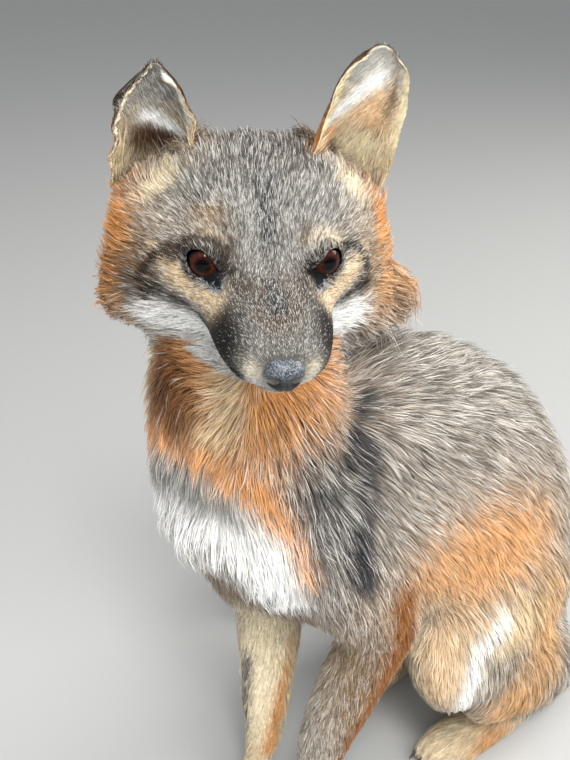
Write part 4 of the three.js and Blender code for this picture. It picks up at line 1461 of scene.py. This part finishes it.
def strand_colours(colours, grizzle, lock_tone, rng):
    """Root, middle and tip colours of tufts, more of them silver or black-tipped as grizzle grows."""
    count = len(colours)
    lightness = np.exp(rng.normal(0, 0.07, count) + (0.07 + 0.09 * grizzle) * lock_tone)[:, None]
    base = colours * lightness
    kind = rng.random(count)
    lean = 1 + 0.5 * np.clip(lock_tone, -1.6, 1.6)
    pale = (kind < PALE_SHARE * grizzle * lean)[:, None]
    dark = (kind > 1 - DARK_SHARE * grizzle * (2 - lean))[:, None]
    bright = base * 0.45 + SILVER * 0.58
    sooty = base * 0.25 + BLACK
    root = base * (ROOT_SHADE + PALE_ROOTS * colours.mean(1, keepdims=True))
    middle = np.where(pale, bright, np.where(dark, base * 0.5 + sooty * 0.5, base))
    tip = np.where(pale, bright * 1.05, np.where(dark, sooty, base * 1.06))
    return np.clip(np.stack([root, middle, tip], 1), 0, 0.95)


def gathered(lines, lengths, per_lock, rng):
    """Draws the tufts of each lock together towards the tip; also gives each tuft's lock a tone."""
    leads = np.flatnonzero(rng.random(len(lines)) < 1 / per_lock)
    roots = lines[:, 0]
    tree = KDTree(len(leads))
    for number, lead in enumerate(leads):
        tree.insert(roots[lead].tolist(), number)
    tree.balance()
    lock = np.array([tree.find(root)[1] for root in roots.tolist()])
    leader = lines[leads[lock]]
    along = np.linspace(0, 1, lines.shape[1])[None, :, None]
    together = leader + (lines[:, :1] - leader[:, :1]) * (1 - 0.8 * along)
    near = np.linalg.norm(roots - leader[:, 0], axis=1) < LOCK_SIZE * lengths
    pull = LOCK_PULL * along ** 1.3 * near[:, None, None]
    return lines + (together - lines) * pull, rng.normal(0, 1, len(leads))[lock]


def grow(tree, roots, normals, lies, lengths, lifts, rng, bends):
    """The middle line of each tuft: from its root, along the body, rising to its lift at the tip."""
    lines = [roots - normals * ROOT_DEPTH]
    side = np.cross(normals, lies)
    sway = rng.normal(0, SWAY, len(roots))
    for bend in range(1, bends + 1):
        t = bend / bends
        run = lengths * t
        way = lies + side * (sway * t)[:, None]
        flat = roots + way * run[:, None]
        rise = lengths * lifts * (1.5 * t - 0.5 * t * t)
        placed = np.empty_like(flat)
        for index, (target, reach) in enumerate(zip(flat.tolist(), rise.tolist())):
            spot, normal, _, _ = tree.find_nearest(target)
            placed[index] = (
                spot[0] + normal[0] * reach, spot[1] + normal[1] * reach, spot[2] + normal[2] * reach,
            )
        lines.append(placed)
    return np.stack(lines, 1)


def tuft_piece(name, lines, normals, widths, colours, unwrapped, slot, material, rng):
    """One coat piece: a tapering blade along each line, with its markings and its OFBake map."""
    count, rows = lines.shape[:2]
    roll = rng.normal(0, ROLL, count)
    along = unit(np.gradient(lines, axis=1))
    outward = unit(normals[:, None] - along * (along * normals[:, None]).sum(-1, keepdims=True))
    side = np.cross(outward, along)
    side = side * np.cos(roll)[:, None, None] + outward * np.sin(roll)[:, None, None]
    taper = np.interp(np.linspace(0, 1, rows), *TAPER)
    half = widths[:, None, None] / 2 * taper[None, :, None]
    left, right = lines - side * half, lines + side * half
    for each in (left, right, lines):
        each[..., 2] = np.maximum(each[..., 2], LOWEST_HAIR)
    per_tuft = 2 * (rows - 1) + 1
    corners = np.empty((count, per_tuft, 3))
    corners[:, 0:-1:2] = left[:, :-1]
    corners[:, 1:-1:2] = right[:, :-1]
    corners[:, -1] = lines[:, -1]
    triangles = []
    for row in range(rows - 2):
        a = 2 * row
        triangles += [(a, a + 1, a + 3), (a, a + 3, a + 2)]
    triangles.append((per_tuft - 3, per_tuft - 2, per_tuft - 1))
    offsets = (np.arange(count) * per_tuft)[:, None, None]
    faces = (np.array(triangles)[None] + offsets).reshape(-1, 3)
    shares = np.linspace(0, 1, rows)
    row_of = np.append(np.repeat(np.arange(rows - 1), 2), rows - 1)
    banded = np.stack([
        np.stack([np.interp(share, BANDS, band) for band in np.eye(3)]) for share in shares
    ])
    shades = np.einsum("rb,nbc->nrc", banded, colours)[:, row_of]
    patch_u = np.append(np.tile((-0.5, 0.5), rows - 1), 0) * PATCH_SIZE
    patch_v = shares[row_of] * PATCH_SIZE
    places = np.stack([unwrapped[:, :1] + patch_u, unwrapped[:, 1:] + patch_v], -1)
    corners, shades = corners.reshape(-1, 3), shades.reshape(-1, 3)
    piece = mesh_piece(name, corners, faces, shades, places.reshape(-1, 2))
    piece.data.materials.append(material)
    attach(piece, "root")


def mesh_piece(name, corners, triangles, shades, places):
    mesh = bpy.data.meshes.new(name)
    mesh.vertices.add(len(corners))
    mesh.vertices.foreach_set("co", fox_to_scene(corners).astype(np.float32).ravel())
    mesh.loops.add(triangles.size)
    mesh.loops.foreach_set("vertex_index", triangles.astype(np.int32).ravel())
    mesh.polygons.add(len(triangles))
    mesh.polygons.foreach_set("loop_start", np.arange(0, triangles.size, 3, dtype=np.int32))
    mesh.update(calc_edges=True)
    mesh.shade_smooth()
    paint_corners(mesh, shades)
    layer = mesh.uv_layers.new(name="OFBake")
    layer.uv.foreach_set("vector", places[triangles.ravel()].astype(np.float32).ravel())
    return add_object(name, mesh)


def paint_corners(mesh, shades):
    layer = mesh.color_attributes.new("Pelt", "FLOAT_COLOR", "POINT")
    rows = np.column_stack([shades, np.ones(len(shades))]).astype(np.float32)
    layer.data.foreach_set("color", rows.ravel())


def unwrap(points, start, end, front):
    """Rolls the skin out flat round an axis: the share of a turn, and the share of the way along."""
    axis = unit(np.subtract(end, start))
    across = unit(np.subtract(front, axis * (axis @ np.asarray(front, float))))
    other = np.cross(axis, across)
    away = points - start
    turn = np.arctan2(away @ other, away @ across) / (2 * np.pi) + 0.5
    along = away @ axis
    along = (along - along.min()) / max(np.ptp(along), 1e-6)
    flat = np.stack([turn, along], 1)
    return UNWRAP_MARGIN + flat * (1 - 2 * UNWRAP_MARGIN)


# The coat's pieces: the solids each one covers, the axis that its skin is rolled out round, and
# the way from the axis to the middle of that map.
HEAD_AXIS = (head_to_fox([(0, 0, 0)])[0], head_to_fox([(0, 128, 0)])[0], (0, 0, 1))
COAT = [
    ("neck", ("neck",), ((0, -45, 340), (0, -45, 200), (0, 1, 0)), "coat_rust"),
    ("trunk", ("trunk",), ((0, -84, 190), (0, 190, 140), (0, 0, 1)), "coat_grizzle"),
    ("foreleg_left", ("upper_arm_left", "forearm_left", "forepaw_left"),
     ((42, -20, 220), (26, -40, 0), (0, 1, 0)), "coat_grizzle"),
    ("foreleg_right", ("upper_arm_right", "forearm_right", "forepaw_right"),
     ((-34, -35, 220), (-10, -45, 0), (0, 1, 0)), "coat_rust"),
    ("hind_leg_left", ("thigh_left", "shank_left", "hindfoot_left"),
     ((45, 110, 170), (45, 110, 0), (-1, 0, 0)), "coat_rust"),
    ("hind_leg_right", ("thigh_right", "shank_right", "hindfoot_right"),
     ((-45, 110, 170), (-45, 110, 0), (1, 0, 0)), "coat_rust"),
    ("tail", TAIL_PARTS, ((-76, 150, 0), (-76, 150, 84), (1, -1, 0)), "coat_grizzle"),
]
HEAD_BANDS = [("muzzle", -20, 46), ("face", 46, 66), ("forehead", 66, 88), ("crown", 88, 200)]


def coat_pieces(parts, head_points):
    """The name, corners of the skin, unwrapping axis and slot of each coat piece."""
    rows = []
    for name, nodes, axis, slot in COAT:
        rows.append((name, is_part(parts, *nodes), axis, slot))
    on_head = is_part(parts, *HEAD_PARTS)
    for name, near, far in HEAD_BANDS:
        band = (head_points[:, 1] >= near) & (head_points[:, 1] < far)
        rows.append((name, on_head & band, HEAD_AXIS, "coat_grizzle"))
    return rows


def bare_share(head_points, points):
    """1 where no hair grows: lid edges, lips, the nose and the soles."""
    folded = mirrored(head_points)
    bare = smooth_step(-path_gap(folded, MOUTH_LINE), -1.1, -0.6)
    for eye in EYES:
        bare = np.maximum(bare, smooth_step(-bare_rim_gap(eye, head_points), -0.2, 0.2))
    nose_gap = (head_points - NOSE_MIDDLE) / np.array(NOSE_REACH)
    bare = np.maximum(bare, (nose_gap ** 2).sum(1) < 1.12)
    return np.maximum(bare, points[:, 2] < 1.2)


def scatter(expected, rng):
    """Random places on triangles, as many on each as expected: the triangle and corner shares."""
    total = int(expected.sum())
    pick = np.searchsorted(np.cumsum(expected), rng.random(total) * expected.sum())
    pick = np.minimum(pick, len(expected) - 1)
    first, second = rng.random((2, total))
    over = first + second > 1
    first[over], second[over] = 1 - first[over], 1 - second[over]
    return pick, np.stack([1 - first - second, first, second], 1)


EYE_PARTING, PARTING_REACH = 1.3, 2.2       # how far hair turns from the eyes, and over what mm
PARTING_END = 20                            # mm from the lids, beyond which it doesn't turn
WAVES = [((0.9, 0.4, 0.6), 0), ((-0.5, 0.8, 0.5), 2), ((0.3, -0.6, 0.9), 4)]  # ways and shifts
WAVE_LENGTH, WAVE_TURN = 7.0, 0.13          # mm to a radian, and how far they turn the hair


def ruffled(lies, points, head_points):
    """The lie of the coat, turned from the eyes and parted into locks."""
    for eye in EYES:
        gap = lid_gap(eye, head_points)
        seen = eye_view(eye, head_points)
        across, up = seen[:, :1] - LID_MIDDLE[0], seen[:, 1:2] - LID_MIDDLE[1]
        away = across * eye["across"] + up * eye["up"]
        share = np.exp(-np.maximum(gap, 0) / PARTING_REACH) * (gap < PARTING_END)
        lies = lies + EYE_PARTING * share[:, None] * (unit(away) @ HEAD_TURN.T)
    waves = np.stack([np.sin(points @ way / WAVE_LENGTH + shift) for way, shift in WAVES], 1)
    return unit(lies + WAVE_TURN * waves)


def add_pieces(name, lines, normals, widths, colours, unwrapped, slot, material, rng):
    """The tufts as one coat piece, or as several where they are too many for one."""
    triangles = len(lines) * (2 * lines.shape[1] - 3)
    pieces = -(-triangles // MOST_TRIANGLES)
    for number, chosen in enumerate(np.array_split(np.argsort(lines[:, 0, 1]), pieces)):
        piece_name = "coat_" + name + (f"_{number + 1}" if pieces > 1 else "")
        tuft_piece(
            piece_name, lines[chosen], normals[chosen], widths[chosen], colours[chosen],
            unwrapped[chosen], slot, material, rng,
        )


def cover_of(lengths, on_head):
    body = np.interp(lengths, *zip(*BODY_COVER))
    return np.where(on_head, np.interp(lengths, *zip(*HEAD_COVER)), body)


def make_coat(skin, section, long_coat, short_coat):
    """The coat of the body and head, piece by piece."""
    corners, normals, _, triangles = read_mesh(skin.data)
    head_points = fox_to_head(corners)
    parts = nearest_parts(corners)
    tree = BVHTree.FromPolygons(corners.tolist(), triangles.tolist())
    on_tail = is_part(parts, *TAIL_PARTS)
    on_head = is_part(parts, *HEAD_PARTS)
    lies, lengths, lifts = combed(corners, on_tail)
    lies = ruffled(lies, corners, head_points)
    cover = cover_of(lengths, on_head)
    density = cover / (lengths * tuft_width(lengths))
    density = density * (1 - bare_share(head_points, corners))
    density[np.char.startswith(section, "ear")] = 0
    a, b, c = (corners[triangles[:, k]] for k in range(3))
    areas = np.linalg.norm(np.cross(b - a, c - a), axis=1) / 2
    for number, (name, chosen, axis, slot) in enumerate(coat_pieces(parts, head_points)):
        rng = np.random.default_rng(100 + number)
        in_piece = chosen[triangles[:, 0]]
        expected = density[triangles].mean(1) * areas * in_piece
        pick, shares = scatter(expected, rng)

        def at(values):
            return np.einsum("nk,nk...->n...", shares, values[triangles[pick]])

        roots, root_normals, root_lies = at(corners), unit(at(normals)), at(lies)
        root_lies = unit(root_lies + rng.normal(0, LIE_SPREAD, roots.shape))
        root_lies = unit(root_lies - root_normals * (root_lies * root_normals).sum(1, keepdims=True))
        root_lengths = at(lengths) * np.exp(rng.normal(0, LENGTH_SPREAD, len(roots)))
        root_lifts = at(lifts) * rng.uniform(*LIFT_SPREAD, len(roots))
        bends = 3 if np.median(root_lengths) > LONG_HAIR else 2
        lines = grow(tree, roots, root_normals, root_lies, root_lengths, root_lifts, rng, bends)
        widths = tuft_width(root_lengths)
        per_lock = at(cover) * LOCK_SPACING ** 2 * root_lengths / widths
        lines, lock_tone = gathered(lines, root_lengths, np.maximum(per_lock, LEAST_IN_LOCK), rng)
        shown = mix(roots, lines[:, -1], shown_share(root_lengths))
        if name == "tail":
            colours, grizzle = tail_pelt(shown, rng)
        else:
            head_share = smooth_step(at(on_head.astype(float)), 0.2, 0.8)
            first, first_grizzle = pelt(shown, rng)
            second, second_grizzle = head_pelt(shown, rng)
            colours = mix(first, second, head_share)
            grizzle = first_grizzle * (1 - head_share) + second_grizzle * head_share
        add_pieces(
            name, lines, root_normals, widths * rng.uniform(*WIDTH_SPREAD, len(roots)),
            strand_colours(colours, grizzle, lock_tone, rng), unwrap(roots, *axis), slot,
            long_coat if bends == 3 else short_coat, rng,
        )


# How an ear's fur lies: where it grows, how many tufts, their length in mm, the way they run from
# straight up the ear towards its outer edge in degrees, and their lift.
EAR_FUR = [
    ("back", 1, (-0.02, 0.97), (-1.0, 1.0), 6500, 3.6, 0, 0.14),
    ("behind the root", 1, (-0.12, 0.12), (-0.8, 0.8), 2500, 9.0, 0, 0.2),
    ("front", -1, (0.0, 0.93), (-0.97, 0.97), 5500, 4.6, 22, 0.2),
    ("inner edge", -1, (0.05, 0.93), (-1.0, -0.72), 2000, 5.0, 24, 0.3),
    ("outer edge", -1, (0.05, 0.95), (0.84, 1.0), 1500, 2.6, 14, 0.25),
    ("root", -1, (-0.1, 0.2), (-0.95, 0.95), 3500, 11.0, 4, 0.3),
]


def ear_coat(ear, material):
    """The fur on both faces of an ear."""
    rng = np.random.default_rng(200 + EARS[ear]["side"])
    side = EARS[ear]["side"]
    rows = []
    for _, face, (low, high), (inner, outer), count, length, angle, lift in EAR_FUR:
        u = rng.uniform(low, high, count)
        across = rng.uniform(inner, outer, count)
        lengths = length * np.exp(rng.normal(0, 0.2, count)) * (1 - 0.5 * u ** 4)
        angles = np.radians(angle + rng.normal(0, 9, count))
        lifts = lift * rng.uniform(0.6, 1.2, count)
        rows.append(np.stack([u, across, np.full(count, face), lengths, angles, lifts], 1))
    u, across, face, lengths, angles, lifts = np.vstack(rows).T
    width = EAR_HALF_WIDTH * (1 - 0.22 * u)
    bends = 2
    lines = []
    for bend in range(bends + 1):
        t = bend / bends
        up = u + lengths * np.cos(angles) * t / (EAR_HEIGHT * EARS[ear]["height"])
        out = across + lengths * np.sin(angles) * t / width
        offset = face * (ear_thickness(out) / 2 - 0.15 + lengths * lifts * t)
        lines.append(ear_point(ear, up, np.clip(out, -1.03, 1.03) * side, offset))
    lines = np.stack(lines, 1)
    above = ear_point(ear, u, across * side, face * (ear_thickness(across) / 2 + 1))
    normals = unit(above - ear_point(ear, u, across * side, face * ear_thickness(across) / 2))
    colours, grizzle = ear_pelt(ear, np.stack([u, across * side, face], 1), rng)
    lock_tone = np.sin(9 * across + 40 * u) + rng.normal(0, 0.5, len(u))
    unwrapped = np.stack([(across + 1) / 4 + 0.25 * (1 + face), np.clip(u, 0, 1)], 1)
    unwrapped = UNWRAP_MARGIN + unwrapped * (1 - 2 * UNWRAP_MARGIN)
    widths = tuft_width(lengths) * rng.uniform(0.8, 1.3, len(u))
    add_pieces(
        ear, lines, normals, widths, strand_colours(colours, grizzle, lock_tone, rng), unwrapped,
        "coat_pale", material, rng,
    )


def paint_skin(skin, section, ear_places):
    """The markings of the coat, darker, on the skin under it."""
    rng = np.random.default_rng(7)
    corners, _, _, _ = read_mesh(skin.data)
    parts = nearest_parts(corners)
    on_head = is_part(parts, *HEAD_PARTS)
    on_tail = is_part(parts, *TAIL_PARTS)
    lies, lengths, _ = combed(corners, on_tail)
    shown = corners + lies * (shown_share(lengths) * lengths)[:, None]
    shades, _ = pelt(shown, rng)
    shades[on_head] = head_pelt(shown[on_head], rng)[0]
    shades[on_tail] = tail_pelt(shown[on_tail], rng)[0]
    for ear, places in ear_places.items():
        shades[section == ear] = ear_pelt(ear, places, rng)[0]
    paint_corners(skin.data, shades * (SKIN_SHADE + PALE_ROOTS * shades.mean(1, keepdims=True)))
    skin.data.materials.append(skin_material())


make_camera()
make_studio()
make_floor()
skin, skin_section, ear_places = make_skin()
paint_skin(skin, skin_section, ear_places)
for each in EYES:
    make_eyeball(each)
make_nose()
make_claws()
make_dried_edge()
long_coat = coat_material("long coat", 0.009, 0.6, 0.06)
short_coat = coat_material("short coat", 0.002, 0.6, 0.03)
make_coat(skin, skin_section, long_coat, short_coat)
for each in EARS:
    ear_coat(each, short_coat)
